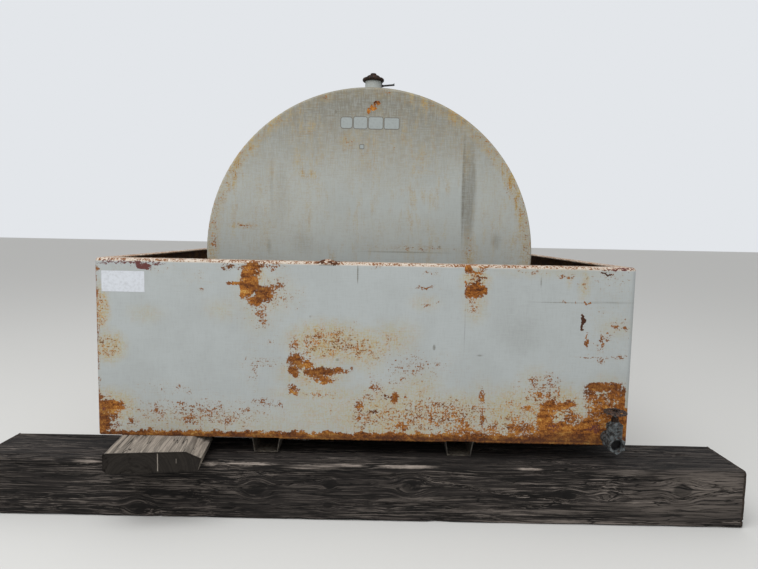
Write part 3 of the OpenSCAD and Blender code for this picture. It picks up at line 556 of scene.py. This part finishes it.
def basin_paint_material(name, looks, front):
    """Sprayed enamel gone chalky on 5 mm plate: matt, pale blue-grey, eaten by rust from its edges and foot,
    and brown all over inside, where water stands, and darker still there as painted shade."""
    made, tree, at = new_material(name)
    across, height = on_face(tree, at, 0, UNDER_Z)
    marks = front_wall_marks(tree, at, across, height) if front else plain_wall_marks(tree, at, height)
    rust, stain, dark, primer, dirt = marks
    top = (RIM_Z - UNDER_Z) / MM
    # Along the rim's bend the paint is paler: bleached paint, and painted highlight where the bend faces the
    # sky
    rim = add(tree, "MapRange", (height, top - 18, top - 9), **SMOOTH)
    rust = add(tree, "Math MAXIMUM", (rust, add(tree, "Math MULTIPLY", (rim, 0.49))))
    paint = add(tree, "Mix", {SHARE: rim, UNDER: looks.basin_paint, OVER: looks.rim_paint_and_highlight}, **COLOURS)
    washes = (looks.stain, looks.old_stain)
    colour, roughness, relief, eaten = weathered_paint(
        tree, at, paint, looks, washes, rust, stain, dark, primer, dirt)
    # Inside the basin the rust is mixed with near-black brown: wet rust, and painted shade for the shade
    # inside the walls
    rust_and_shade_inside = add(tree, "Mix", {SHARE: 0.62, UNDER: rust_scale(tree, at)[0], OVER: tint(WET_RUST_AND_SHADE)}, **COLOURS)
    inside = inner_faces(tree, at, height)
    colour = add(tree, "Mix", {SHARE: inside, UNDER: colour, OVER: rust_and_shade_inside}, **COLOURS)
    close_material(tree, colour, roughness, relief, 0.9, eaten)
    return made


def head_marks(tree, at, across, height):
    """Rust, stain and dirt on a tank head, from its tables and round its rim, most of it at the sides."""
    flat = add(tree, "CombineXYZ", (across, height))
    ragged = loosened(tree, flat, at, 30, 44)
    off = add(tree, "VectorMath LENGTH", (ragged,), "Value")
    rim = add(tree, "MapRange", (off, TANK_R / MM - 85, TANK_R / MM - 35), **SMOOTH)
    right = add(tree, "MapRange", (across, 50, 560, 0.4, 1.0), **SMOOTH)
    left = add(tree, "MapRange", (across, -300, -700, 0.4, 1.0), **SMOOTH)
    sides = add(tree, "Math MAXIMUM", (right, left))
    rim = add(tree, "Math MULTIPLY", (rim, sides))
    stain = add(tree, "Math MAXIMUM", (ovals(tree, ragged, HEAD_STAIN, 0.6), rim))
    rust = add(tree, "Math MULTIPLY", (rim, 0.33))
    rust = add(tree, "Math MAXIMUM", (ovals(tree, ragged, HEAD_RUST), rust))
    dirt = add(tree, "MapRange", (height, 260, 800, 0, 1.0), **SMOOTH)
    dirt = add(tree, "Math MAXIMUM", (ovals(tree, flat, HEAD_DIRT), dirt))
    return rust, stain, dirt


def tank_paint_material(name, looks, head):
    """Sprayed enamel gone chalky on the tank: grey-white, with yellow-brown streaks run down by the rain."""
    made, tree, at = new_material(name)
    across, height = on_face(tree, at, TANK_X, TANK_Z)
    if head:
        rust, stain, dirt = head_marks(tree, at, across, height)
        run_at = add(tree, "CombineXYZ", (across, 0.0, height))
        amount, tall = 0.5, 4
    else:
        angle = add(tree, "Math ARCTAN2", (across, height))
        lean = add(tree, "Math ABSOLUTE", (angle,))
        stain = add(tree, "MapRange", (lean, 0.2, 1.6, 0.1, 0.4), **SMOOTH)
        rust, dirt = 0.2, 0.1
        along = add(tree, "VectorMath DOT_PRODUCT", (at, Y), "Value")
        around = add(tree, "Math MULTIPLY", (angle, TANK_R / MM))
        run_at = add(tree, "CombineXYZ", (along, 0.0, around))
        amount, tall = 0.9, 20
    runs = add(tree, "Math MULTIPLY", (
        cloudy(tree, run_at, 26, stretch=(1, 1, tall), low=0.42, high=0.66, detail=5, shift=2.9),
        cloudy(tree, run_at, 120, stretch=(1, 1, 6), low=0.4, high=0.62, shift=9.3)))
    streaky = add(tree, "Math MULTIPLY_ADD", (runs, 1.2, 0.6))
    runs = add(tree, "Math MULTIPLY_ADD", (runs, amount, 0.03))
    stain = add(tree, "Math MULTIPLY", (stain, streaky))
    stain = add(tree, "Math MAXIMUM", (stain, runs))
    colour, roughness, relief, eaten = weathered_paint(
        tree, at, looks.tank_paint, looks, (looks.tank_stain, looks.old_tank_stain), rust, stain, dirt=dirt)
    close_material(tree, colour, roughness, relief, 0.7, eaten)
    return made


def rusty_steel_material(name):
    """Mild steel plate rusted all over: matt, dark brown and orange, with a rough scale."""
    made, tree, at = new_material(name)
    colour, relief = rust_scale(tree, at)
    colour = add(tree, "Mix", {SHARE: 0.55, UNDER: colour, OVER: tint(PLATE_SCALE)}, **COLOURS)
    close_material(tree, colour, 0.9, relief, 0.8)
    return made


def grimy_iron_material(name, pale, dark, rusty, metallic=0.0, shine=0.5, shaded_bore_r=0.0):
    """Iron left outdoors, cast, galvanised or thinly painted: matt and grainy, mottled dark and pale, with
    specks of rust, and near black inside a bore round the drain's axis as painted shade."""
    made, tree, at = new_material(name)
    cloud = cloudy(tree, at, 12, low=0.38, high=0.64, detail=5, rough=0.65, shift=3.3)
    colour = add(tree, "Mix", {SHARE: cloud, UNDER: tint(dark), OVER: tint(pale)}, **COLOURS)
    specks = cloudy(tree, at, 7, low=0.52, high=0.66, detail=4, shift=7.2)
    specks = add(tree, "Math MULTIPLY", (specks, rusty))
    colour = add(tree, "Mix", {SHARE: specks, UNDER: colour, OVER: tint(IRON_RUST)}, **COLOURS)
    # Painted shade: near black inside the bore, where the outlet lies in shade
    if shaded_bore_r:
        off = add(tree, "VectorMath SUBTRACT", (at, DRAIN / MM))
        off = add(tree, "VectorMath MULTIPLY", (off, (1, 0, 1)))
        off = add(tree, "VectorMath LENGTH", (off,), "Value")
        inside = add(tree, "MapRange", (off, shaded_bore_r + 1, shaded_bore_r - 2, 0, 0.9))
        colour = add(tree, "Mix", {SHARE: inside, UNDER: colour, OVER: tint(BORE_SHADE)}, **COLOURS)
    grit = cloudy(tree, at, 2.5, detail=2, shift=1.2)
    close_material(tree, colour, 0.65, grit, 0.4, metallic=metallic, specular=shine)
    return made


def flowing_grain(tree, at, along, long, side, height, knots):
    """Where a place lies in a timber's grain, which sways and flows round its knots, and 1 inside a knot."""
    flat = add(tree, "CombineXYZ", (long, height))
    ring = 0.0
    lift = height
    for knot in knots:
        local, off = oval(tree, flat, *knot)
        pull = add(tree, "MapRange", (off, 3.0, 0.7, 0, 0.85), **SMOOTH)
        above = add(tree, "VectorMath DOT_PRODUCT", (local, (0, -knot[3], 0)), "Value")
        lift = add(tree, "Math MULTIPLY_ADD", (above, pull, lift))
        core = add(tree, "MapRange", (off, 1.25, 0.85), **SMOOTH)
        ring = add(tree, "Math MAXIMUM", (ring, core))
    sway = cloudy(tree, at, 150, stretch=(4, 1, 1) if along == 0 else (1, 4, 1), detail=3, shift=5.5)
    lift = add(tree, "Math MULTIPLY_ADD", (sway, 40, lift))
    deep = add(tree, "Math MULTIPLY_ADD", (sway, 30, side))
    return add(tree, "CombineXYZ", (long, deep, lift)), ring


def sawn_end(tree, at, side, height, box, across, end, pale, splits):
    """The colour of a timber's sawn ends: growth rings round a pith below its foot, and pale splits."""
    low, high = box
    pith = add(tree, "CombineXYZ", (0.0, side, height))
    pith = add(tree, "VectorMath SUBTRACT", (pith, (
        0, (low[across] * 0.7 + high[across] * 0.3) / MM, (low.z - 0.03) / MM)))
    pith = add(tree, "VectorMath LENGTH", (loosened(tree, pith, at, 60, 20),), "Value")
    rings = cloudy(tree, add(tree, "CombineXYZ", (pith,)), 6, low=0.35, high=0.65, detail=1, shift=2.7)
    rings = add(tree, "Math MULTIPLY", (rings, 0.55))
    rings = add(tree, "Mix", {SHARE: rings, UNDER: end, OVER: tint(GROWTH_RING)}, **COLOURS)
    end_at = add(tree, "VectorMath SUBTRACT", (
        add(tree, "CombineXYZ", (side, height)), (low[across] / MM, low.z / MM, 0)))
    split = boxes(tree, end_at, splits, 1.5)
    return add(tree, "Mix", {SHARE: split, UNDER: rings, OVER: pale}, **COLOURS)


def timber_material(name, box, along, turn, depth, dark, pale, end, contrast, knots=(), worn=(), splits=()):
    """Rough-sawn softwood left outdoors: matt, with raised grain that flows round its knots, long drying
    checks, growth rings on the sawn ends and pale wood where it has splintered or split. The pale marks
    along a bearer's top front edge are partly painted highlight."""
    made, tree, at = new_material(name)
    low, high = box
    axes = [Matrix.Rotation(turn, 3, "Z") @ Vector(axis) for axis in (X, Y, Z)]
    long = add(tree, "VectorMath DOT_PRODUCT", (at, axes[along]), "Value")
    side = add(tree, "VectorMath DOT_PRODUCT", (at, axes[1 - along]), "Value")
    height = add(tree, "VectorMath DOT_PRODUCT", (at, axes[2]), "Value")
    grain_at, ring = flowing_grain(tree, at, along, long, side, height, knots)
    grain = cloudy(tree, grain_at, 5, stretch=(50, 1, 1), detail=5, rough=0.75, shift=1.9)
    broad = cloudy(tree, grain_at, 26, stretch=(16, 1, 1), shift=4.1)
    streak = add(tree, "Math ADD", (grain, broad))
    tone = add(tree, "MapRange", (streak, 0.86, 1.14), **SMOOTH)
    black = add(tree, "Mix", {SHARE: contrast, UNDER: dark, OVER: tint(CRACK_BLACK)}, **COLOURS)
    colour = add(tree, "Mix", {SHARE: tone, UNDER: black, OVER: dark}, **COLOURS)
    patches = cloudy(tree, grain_at, 90, stretch=(5, 1, 1), low=0.42, high=0.72, shift=8.1)
    fade = add(tree, "MapRange", (grain, 0.5, 0.62, 0, 0.8), **SMOOTH)
    patches = add(tree, "Math MULTIPLY_ADD", (patches, 0.65, 0.25))
    fade = add(tree, "Math MULTIPLY", (fade, patches))
    splinter = add(tree, "MapRange", (grain, 0.4, 0.55), **SMOOTH)
    back = add(tree, "Math SUBTRACT", (side, low[1 - along] / MM))
    edge_at = add(tree, "CombineXYZ", (long, add(tree, "Math ADD", (back, height))))
    # Pale worn wood along the edges, which is partly painted highlight on the top front edge
    rubbed_and_lit = ovals(tree, loosened(tree, edge_at, at, 22, 12), worn, 0.5)
    rubbed_and_lit = add(tree, "Math MULTIPLY", (rubbed_and_lit, splinter))
    fade = add(tree, "Math MAXIMUM", (fade, rubbed_and_lit))
    colour = add(tree, "Mix", {SHARE: fade, UNDER: colour, OVER: pale}, **COLOURS)
    checks = cloudy(tree, grain_at, 40, stretch=(14, 1, 1), detail=2, shift=6.6)
    checks = add(tree, "Math SUBTRACT", (checks, 0.5))
    checks = add(tree, "Math ABSOLUTE", (checks,))
    checks = add(tree, "MapRange", (checks, 0.014, 0.003, 0, 0.85), **SMOOTH)
    ring = add(tree, "Math MULTIPLY", (ring, 0.6))
    hollow = add(tree, "Math MAXIMUM", (checks, ring))
    colour = add(tree, "Mix", {SHARE: hollow, UNDER: colour, OVER: tint(CRACK_BLACK)}, **COLOURS)
    rings = sawn_end(tree, at, side, height, box, 1 - along, end, pale, splits)
    middle = (low[along] + high[along]) / 2 / MM
    reach = add(tree, "Math SUBTRACT", (long, middle))
    reach = add(tree, "Math ABSOLUTE", (reach,))
    half = (high[along] - low[along]) / 2 / MM
    sawn = add(tree, "MapRange", (reach, half - 12, half - 9), **SMOOTH)
    colour = add(tree, "Mix", {SHARE: sawn, UNDER: colour, OVER: rings}, **COLOURS)
    height = add(tree, "Math SUBTRACT", (grain, checks))
    close_material(tree, colour, 0.88, height, depth / MM, specular=0.2)
    return made


def film_material(name, code, grime):
    """Blank vinyl film: smooth and slightly glossy, with clouds of dust over an even share of grime."""
    made, tree, at = new_material(name)
    dust = cloudy(tree, at, 12, low=0.4, high=0.8, detail=5)
    dust = add(tree, "Math MULTIPLY_ADD", (dust, 0.22, grime))
    colour = add(tree, "Mix", {SHARE: dust, UNDER: tint(code), OVER: tint(FILM_DUST)}, **COLOURS)
    close_material(tree, colour, 0.45, dust, 0.1)
    return made


def dress(material, *nodes):
    """Gives CAD nodes their finish."""
    for node in nodes:
        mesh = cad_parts[node].data
        mesh.materials.clear()
        mesh.materials.append(material)


def piece_of(data, name, body, slot, *materials, replaces=()):
    """Puts finished data into the scene, and says what it rides on and what it stands for."""
    for material in materials:
        data.materials.append(material)
    made = bpy.data.objects.new(name, data)
    bpy.context.scene.collection.objects.link(made)
    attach(made, body)
    if replaces:
        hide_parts(*replaces)
    return made


def mesh_of(mesh, name, smooth=True):
    """Turns a bmesh into mesh data whose faces look outward."""
    bmesh.ops.recalc_face_normals(mesh, faces=mesh.faces[:])
    data = bpy.data.meshes.new(name)
    mesh.to_mesh(data)
    mesh.free()
    for face in data.polygons:
        face.use_smooth = smooth
    return data


def bead(name, points, width, material, slot, closed=True, ripple=0.2):
    """A weld bead, or a thread's ridge, along some points. The ripple is what the welder leaves."""
    data = bpy.data.curves.new(name, "CURVE")
    data.dimensions = "3D"
    data.bevel_depth = width / 2
    data.bevel_resolution = 1
    data.use_fill_caps = not closed
    line = data.splines.new("POLY")
    line.points.add(len(points) - 1)
    for i, place in enumerate(points):
        line.points[i].co = (*place, 1)
        line.points[i].radius = 1 + ripple * math.sin(i * 2.1)
    line.use_cyclic_u = closed
    return piece_of(data, name, ROOT, slot, material)


def circle(radius, count, turns=1):
    """How far across and up the points of a circle lie, with count points to a turn."""
    angles = [2 * math.pi * i / count for i in range(count * turns)]
    return [(radius * math.sin(angle), radius * math.cos(angle)) for angle in angles]


def seam_ring(y, radius, step):
    """Points round the tank."""
    count = round(2 * math.pi * radius / step)
    return [Vector((TANK_X + across, y, TANK_Z + up)) for across, up in circle(radius, count)]


def neck_ring(y, radius, shell_r, step):
    """Points round the foot of a neck on top of the tank, down on the curved shell."""
    count = round(2 * math.pi * radius / step)
    return [
        Vector((TANK_X + across, y + along, TANK_Z + math.sqrt(shell_r ** 2 - across ** 2)))
        for across, along in circle(radius, count)]


def straight_bead(name, start, end, step, width, material, slot):
    """A weld bead from one place to another."""
    start, end = Vector(start), Vector(end)
    count = max(2, round((end - start).length / step))
    points = [start.lerp(end, i / count) for i in range(count + 1)]
    return bead(name, points, width, material, slot, closed=False)


def film(name, place, start, corner, rim, slot, face, edge, thick=0.4 * MM):
    """A thin film on an upright face, placed in mm from a start, with round corners and a rim in a finish of
    its own: dirt on the tank's films, dirt and painted shade on the sticker.
    """
    mesh = bmesh.new()
    left, right = [start[0] + across * MM for across in place[:2]]
    low, high = [start[2] + up * MM for up in place[2:]]
    stand = Matrix.Translation(((left + right) / 2, start[1] - thick, (low + high) / 2))
    stand = stand @ Matrix.Rotation(math.pi / 2, 4, "X") @ Matrix.Diagonal((right - left, high - low, 1, 1))
    bmesh.ops.create_grid(mesh, x_segments=1, y_segments=1, size=0.5, matrix=stand)
    bmesh.ops.bevel(
        mesh, geom=mesh.verts[:], offset=corner, offset_type="OFFSET", segments=5, profile=0.5,
        affect="VERTICES", material=-1)
    around = bmesh.ops.inset_individual(mesh, faces=mesh.faces[:], thickness=rim)
    for part in around["faces"]:
        part.material_index = 1
    bmesh.ops.solidify(mesh, geom=mesh.faces[:], thickness=thick)
    return piece_of(mesh_of(mesh, name, smooth=False), name, ROOT, slot, face, edge)


def rim_buckle(left, right, high, bend=15 * MM, reach=45 * MM):
    """A place where a blow has lifted the basin's rim, as a skin that runs over the bend and on along the
    rim, and stands highest in its middle."""
    mesh = bmesh.new()
    bmesh.ops.create_grid(mesh, x_segments=24, y_segments=18, size=1.0)
    arc = bend * math.pi / 2
    for vertex in mesh.verts:
        share = (vertex.co.y + 1) / 2
        run = share * (arc + reach)
        angle = min(run, arc) / bend
        out = Vector((0, -math.cos(angle), math.sin(angle)))
        base = Vector((0, FRONT_Y + bend + max(run - arc, 0.0), RIM_Z - bend))
        lift = 0.2 * MM + high * math.cos(vertex.co.x * math.pi / 2) ** 2 * math.sin(share * math.pi)
        middle = Vector(((left + right) / 2 + vertex.co.x * (right - left) / 2, 0, 0))
        vertex.co = middle + base + out * (bend + lift)
    bmesh.ops.solidify(mesh, geom=mesh.faces[:], thickness=0.2 * MM)
    return mesh


def turned_box(node, turn):
    """The box of a node along axes that are turned about Z."""
    back = Matrix.Rotation(-turn, 3, "Z")
    places = [back @ vertex.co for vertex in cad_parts[node].data.vertices]
    return [Vector([pick(place[i] for place in places) for i in range(3)]) for pick in (min, max)]


def sawn_timber(node, along, looks, seed, worn_side, turn=0.0):
    """A timber node with raised grain, long drying checks and edges worn along its low side (-1), its high
    side (1) or both (0)."""
    low, high = turned_box(node, turn)
    mesh = bmesh.new()
    mesh.from_mesh(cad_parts[node].data)
    bmesh.ops.rotate(mesh, verts=mesh.verts[:], cent=(0, 0, 0), matrix=Matrix.Rotation(-turn, 3, "Z"))
    bmesh.ops.dissolve_limit(mesh, angle_limit=math.radians(1), verts=mesh.verts[:], edges=mesh.edges[:])
    for axis in range(3):
        step = 26 * MM if axis == along else 7 * MM
        cuts = round((high[axis] - low[axis]) / step)
        way = Vector([float(axis == i) for i in range(3)])
        for i in range(1, cuts):
            bmesh.ops.bisect_plane(
                mesh, geom=mesh.verts[:] + mesh.edges[:] + mesh.faces[:],
                plane_co=low.lerp(high, i / cuts), plane_no=way)
    mesh.normal_update()
    side = 1 - along
    moved = {}
    for vertex in mesh.verts:
        point = vertex.co
        run = point[along] / GRAIN_LONG + seed
        grain = noise.fractal(Vector((run, point[side] / GRAIN_WIDE, point.z / GRAIN_WIDE)), 1.0, 2.0, 3)
        crack = noise.noise(Vector((run / 1.8, point[side] / CHECK_WIDE, point.z / CHECK_WIDE + seed)))
        depth = looks.groove * (0.6 + 0.8 * grain)
        depth += looks.check * max(0.0, 1 - abs(crack) / 0.05)
        near_low = point[side] - low[side] if worn_side < 1 else 1.0
        near_high = high[side] - point[side] if worn_side > -1 else 1.0
        near = min(near_low, near_high) + min(point.z - low.z, high.z - point.z)
        chip = looks.wear * (1 + 0.9 * noise.noise(Vector((run * 5, point[side] * 12, point.z * 12))))
        depth += max(0.0, chip - near / 2)
        moved[vertex] = point - vertex.normal * depth
    for vertex, point in moved.items():
        vertex.co = Vector([min(max(point[i], low[i]), high[i]) for i in range(3)])
    bmesh.ops.rotate(mesh, verts=mesh.verts[:], cent=(0, 0, 0), matrix=Matrix.Rotation(turn, 3, "Z"))
    return mesh


class TANK_OT_finish_tank(bpy.types.Operator):
    """Paint the tank, weld its seams and fittings and stick on its film remains"""
    bl_idname = "storage_tank.finish_tank"
    bl_label = "Tank"

    def execute(self, context):
        looks = context.scene.tank_looks
        head = tank_paint_material("chalky_tank_enamel_head", looks, True)
        shell = tank_paint_material("chalky_tank_enamel_shell", looks, False)
        dress(head, "head_front", "head_rear")
        dress(
            shell, "shell_front", "shell_middle", "shell_rear", "lifting_lug_front", "lifting_lug_rear",
            "fill_neck", "gauge_coupling", "pump_coupling", "emergency_vent_neck")
        for name, y, radius in (
                ("weld_head_front", HEAD_FRONT[1].y, TANK_R), ("weld_head_rear", HEAD_REAR[0].y, TANK_R),
                ("weld_lap_front", SHELL_MIDDLE[0].y, TANK_R + 2 * MM),
                ("weld_lap_rear", SHELL_MIDDLE[1].y, TANK_R + 2 * MM)):
            bead(name, seam_ring(y, radius, looks.bead * 0.8), looks.bead, shell, "tank_paint")
        for node, shell_r in (
                ("fill_neck", TANK_R), ("gauge_coupling", TANK_R), ("pump_coupling", TANK_R),
                ("vent_pipe", LAP_R)):
            low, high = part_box(node)
            points = neck_ring((low.y + high.y) / 2, (high.x - low.x) / 2 + MM, shell_r, looks.bead / 2)
            bead("weld_" + node, points, looks.bead, shell, "tank_paint")
        for node, shell_r in (("lifting_lug_front", TANK_R), ("lifting_lug_rear", LAP_R)):
            low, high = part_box(node)
            for side, x in (("left", low.x), ("right", high.x)):
                start, end = (x, low.y, TANK_Z + shell_r), (x, high.y, TANK_Z + shell_r)
                name = f"weld_{node}_{side}"
                straight_bead(name, start, end, looks.bead / 2, looks.bead, shell, "tank_paint")
        clean = film_material("film_remains", "#8e9493", 0.0)
        dirty = film_material("film_remains_edge", "#66655f", 0.2)
        axis = (TANK_X, TANK_Y, TANK_Z)
        for name, (*place, corner) in FILMS.items():
            film(name, place, axis, corner * MM, 3.5 * MM, "tank_paint", clean, dirty)
        return {"FINISHED"}


class TANK_OT_finish_basin(bpy.types.Operator):
    """Paint the basin, its saddles and its skids, and buckle its rim"""
    bl_idname = "storage_tank.finish_basin"
    bl_label = "Basin"

    def execute(self, context):
        looks = context.scene.tank_looks
        front = basin_paint_material("chalky_basin_enamel_front", looks, True)
        plain = basin_paint_material("chalky_basin_enamel", looks, False)
        dress(front, "basin_front_wall")
        dress(plain, "basin_rear_wall", "basin_left_wall", "basin_right_wall")
        rusty = rusty_steel_material("rusted_plate")
        dress(rusty, "basin_floor", "saddle_front", "saddle_rear")
        grimy = grimy_iron_material("grimy_skid_paint", "#5f5a50", "#2a2520", 0.5)
        dress(grimy, "skid_left", "skid_right")
        buckle = mesh_of(rim_buckle(*[across * MM for across in BUCKLE], looks.buckle), "rim_buckle")
        piece_of(buckle, "rim_buckle", ROOT, "basin_paint", front)
        blank = film_material("blank_sticker", "#c3c7cd", 0.0)
        # The sticker's rim is greyer: light dirt, and painted shade along its edge
        edge = film_material("blank_sticker_dirt_and_shade_edge", "#b3b5b8", 0.1)
        film("blank_sticker", STICKER, (0, FRONT_Y, UNDER_Z), 2 * MM, 1 * MM, "basin_paint", blank, edge)
        side_x, end_x = HALF_W - PLATE - 2 * MM, HALF_W - CORNER
        front_y, rear_y = FRONT_Y + PLATE + 2 * MM, REAR_Y - PLATE - 2 * MM
        near_y, far_y = FRONT_Y + CORNER, REAR_Y - CORNER
        for name, start, end in (
                ("weld_floor_left", (-side_x, near_y), (-side_x, far_y)),
                ("weld_floor_right", (side_x, near_y), (side_x, far_y)),
                ("weld_floor_front", (-end_x, front_y), (end_x, front_y)),
                ("weld_floor_rear", (-end_x, rear_y), (end_x, rear_y))):
            straight_bead(
                name, (*start, FLOOR[1].z), (*end, FLOOR[1].z), looks.bead, looks.bead, rusty, "rusty_steel")
        foot_y = FRONT_Y + PLATE
        for name, start, end in (
                ("weld_foot_middle", SKID_LEFT[1].x, SKID_RIGHT[0].x),
                ("weld_foot_right", SKID_RIGHT[1].x, end_x)):
            straight_bead(
                name, (start, foot_y, UNDER_Z), (end, foot_y, UNDER_Z), looks.bead, looks.bead * 1.5, rusty,
                "rusty_steel")
        return {"FINISHED"}


class TANK_OT_finish_fittings(bpy.types.Operator):
    """Finish the fill cap, the vents, the plugs and the drain valve with its thread"""
    bl_idname = "storage_tank.finish_fittings"
    bl_label = "Fittings and valve"

    def execute(self, context):
        looks = context.scene.tank_looks
        zinc = grimy_iron_material("weathered_galvanised_iron", **ZINC)
        dress(zinc, "drain_nipple", "valve_bonnet", "valve_stem", "vent_pipe", "vent_cap")
        # The valve body gets painted shade inside its outlet bore
        casting = grimy_iron_material("weathered_galvanised_casting", **ZINC, shaded_bore_r=BORE_R / MM)
        dress(casting, "valve_body")
        iron = grimy_iron_material("dark_rusty_casting", "#30231b", "#100c0a", 0.5, shine=0.15)
        dress(iron, "fill_cap", "gland_nut", "wheel_nut", "gauge_plug", "pump_plug")
        wheel = grimy_iron_material("rusty_casting", "#4f3f37", "#191311", 0.8, metallic=0.2)
        dress(wheel, "valve_handwheel")
        black = grimy_iron_material("worn_black_enamel", "#242322", "#0f0f0f", 0.2, shine=0.3)
        dress(black, "cap_lever", "emergency_vent_cover")
        pitch, turns, count, start = 2.3 * MM, 10, 24, 2 * MM
        helix = [
            DRAIN + Vector((across, start + pitch * i / count, up))
            for i, (across, up) in enumerate(circle(BORE_R, count, turns))]
        bead("outlet_thread", helix, 1.6 * MM, zinc, "galvanised", closed=False, ripple=0.0)
        nipple_r = (NIPPLE[1].x - NIPPLE[0].x) / 2 + MM
        around = [Vector((DRAIN.x + across, FRONT_Y, DRAIN.z + up)) for across, up in circle(nipple_r, 48)]
        bead("weld_drain", around, looks.bead, rusty_steel_material("rusted_weld"), "rusty_steel")
        return {"FINISHED"}


class TANK_OT_finish_timber(bpy.types.Operator):
    """Model the two bearers and the packing plank as weathered timber"""
    bl_idname = "storage_tank.finish_timber"
    bl_label = "Timber"

    def execute(self, context):
        looks = context.scene.timber_looks
        dark = timber_material(
            "creosoted_timber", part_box("bearer_front"), 0, 0.0, looks.groove, looks.creosote, looks.worn,
            tint("#3a322c"), 0.8, KNOTS, WORN_AND_LIT_EDGE)
        for name, node, seed, worn_side in (
                ("timber_front", "bearer_front", 3.0, -1), ("timber_rear", "bearer_rear", 11.0, 1)):
            data = mesh_of(sawn_timber(node, 0, looks, seed, worn_side), name)
            piece_of(data, name, ROOT, "creosoted_timber", dark, replaces=(node,))
        # The plank's end is painted dark: dirty end grain and painted shade
        pale = timber_material(
            "weathered_plank", turned_box("packing_plank", PLANK_TURN), 1, PLANK_TURN, looks.groove,
            looks.plank, tint("#a0978c"), looks.plank_end_and_shade, 0.5, splits=PLANK_SPLITS)
        data = mesh_of(sawn_timber("packing_plank", 1, looks, 7.0, 0, PLANK_TURN), "plank_front")
        piece_of(data, "plank_front", ROOT, "weathered_plank", pale, replaces=("packing_plank",))
        return {"FINISHED"}


class TANK_OT_set_stage(bpy.types.Operator):
    """Lay the floor, hang the lights and set the camera"""
    bl_idname = "storage_tank.set_stage"
    bl_label = "Stage"

    def execute(self, context):
        looks = context.scene.stage_looks
        mesh = bmesh.new()
        bmesh.ops.create_grid(mesh, x_segments=1, y_segments=1, size=FLOOR_HALF)
        data = mesh_of(mesh, "studio_floor", smooth=False)
        floor = bpy.data.objects.new("studio_floor", data)
        context.scene.collection.objects.link(floor)
        made, tree, _ = new_material("studio_floor_paint")
        close_material(tree, looks.floor, 0.9, specular=0.1)
        data.materials.append(made)

        world = bpy.data.worlds.new("studio")
        context.scene.world = world
        world.use_nodes = True
        tree = world.node_tree
        tree.nodes.clear()
        seen = 0.0
        for ray in ("Is Camera Ray", "Is Glossy Ray", "Is Transmission Ray"):
            seen = add(tree, "Math MAXIMUM", (seen, add(tree, "LightPath", pick=ray)))
        light = add(tree, "Background", ((1, 1, 1, 1), looks.sky))
        shown = add(tree, "Background", (looks.backdrop, 1.0))
        add(tree, "OutputWorld", (add(tree, "MixShader", (seen, light, shown)),))

        lamp = bpy.data.lights.new("overhead_softbox", "AREA")
        lamp.shape = "RECTANGLE"
        lamp.size = LAMP_SIZE
        lamp.size_y = LAMP_SIZE
        lamp.energy = looks.key
        hung = bpy.data.objects.new("overhead_softbox", lamp)
        hung.location = LAMP_PLACE
        aim = Vector(LAMP_TARGET) - hung.location
        hung.rotation_euler = aim.to_track_quat("-Z", "Y").to_euler()
        context.scene.collection.objects.link(hung)

        view = bpy.data.cameras.new("view")
        view.lens = looks.lens
        view.sensor_width = 36
        camera = bpy.data.objects.new("view", view)
        camera.matrix_world = (
            Matrix.Translation((looks.right, FRONT_Y - looks.back, UNDER_Z + looks.height))
            @ Matrix.Rotation(math.pi / 2 - looks.pitch, 4, "X")
            @ Matrix.Rotation(looks.roll, 4, "Z"))
        context.scene.collection.objects.link(camera)
        context.scene.camera = camera
        context.scene.view_settings.view_transform = "Standard"
        return {"FINISHED"}


class TANK_PT_panel(bpy.types.Panel):
    """Lists the pieces that can be made"""
    bl_idname = "TANK_PT_panel"
    bl_label = "Storage tank"
    bl_space_type = "VIEW_3D"
    bl_region_type = "UI"
    bl_category = "Storage tank"

    def draw(self, context):
        for step in STEPS:
            self.layout.operator(step.bl_idname)
        for group in GROUPS:
            looks = getattr(context.scene, group)
            for key in looks.__annotations__:
                self.layout.prop(looks, key)


GROUPS = {"tank_looks": TankLooks, "timber_looks": TimberLooks, "stage_looks": StageLooks}
STEPS = (
    TANK_OT_set_stage, TANK_OT_finish_tank, TANK_OT_finish_basin, TANK_OT_finish_fittings,
    TANK_OT_finish_timber)


def register():
    for group in GROUPS.values():
        bpy.utils.register_class(group)
    for key, group in GROUPS.items():
        setattr(bpy.types.Scene, key, PointerProperty(type=group))
    for step in (*STEPS, TANK_PT_panel):
        bpy.utils.register_class(step)


def unregister():
    for step in reversed((*STEPS, TANK_PT_panel)):
        bpy.utils.unregister_class(step)
    for key, group in GROUPS.items():
        delattr(bpy.types.Scene, key)
        bpy.utils.unregister_class(group)


def main():
    register()
    bpy.ops.storage_tank.set_stage()
    bpy.ops.storage_tank.finish_tank()
    bpy.ops.storage_tank.finish_basin()
    bpy.ops.storage_tank.finish_fittings()
    bpy.ops.storage_tank.finish_timber()


if __name__ == "__main__":
    main()
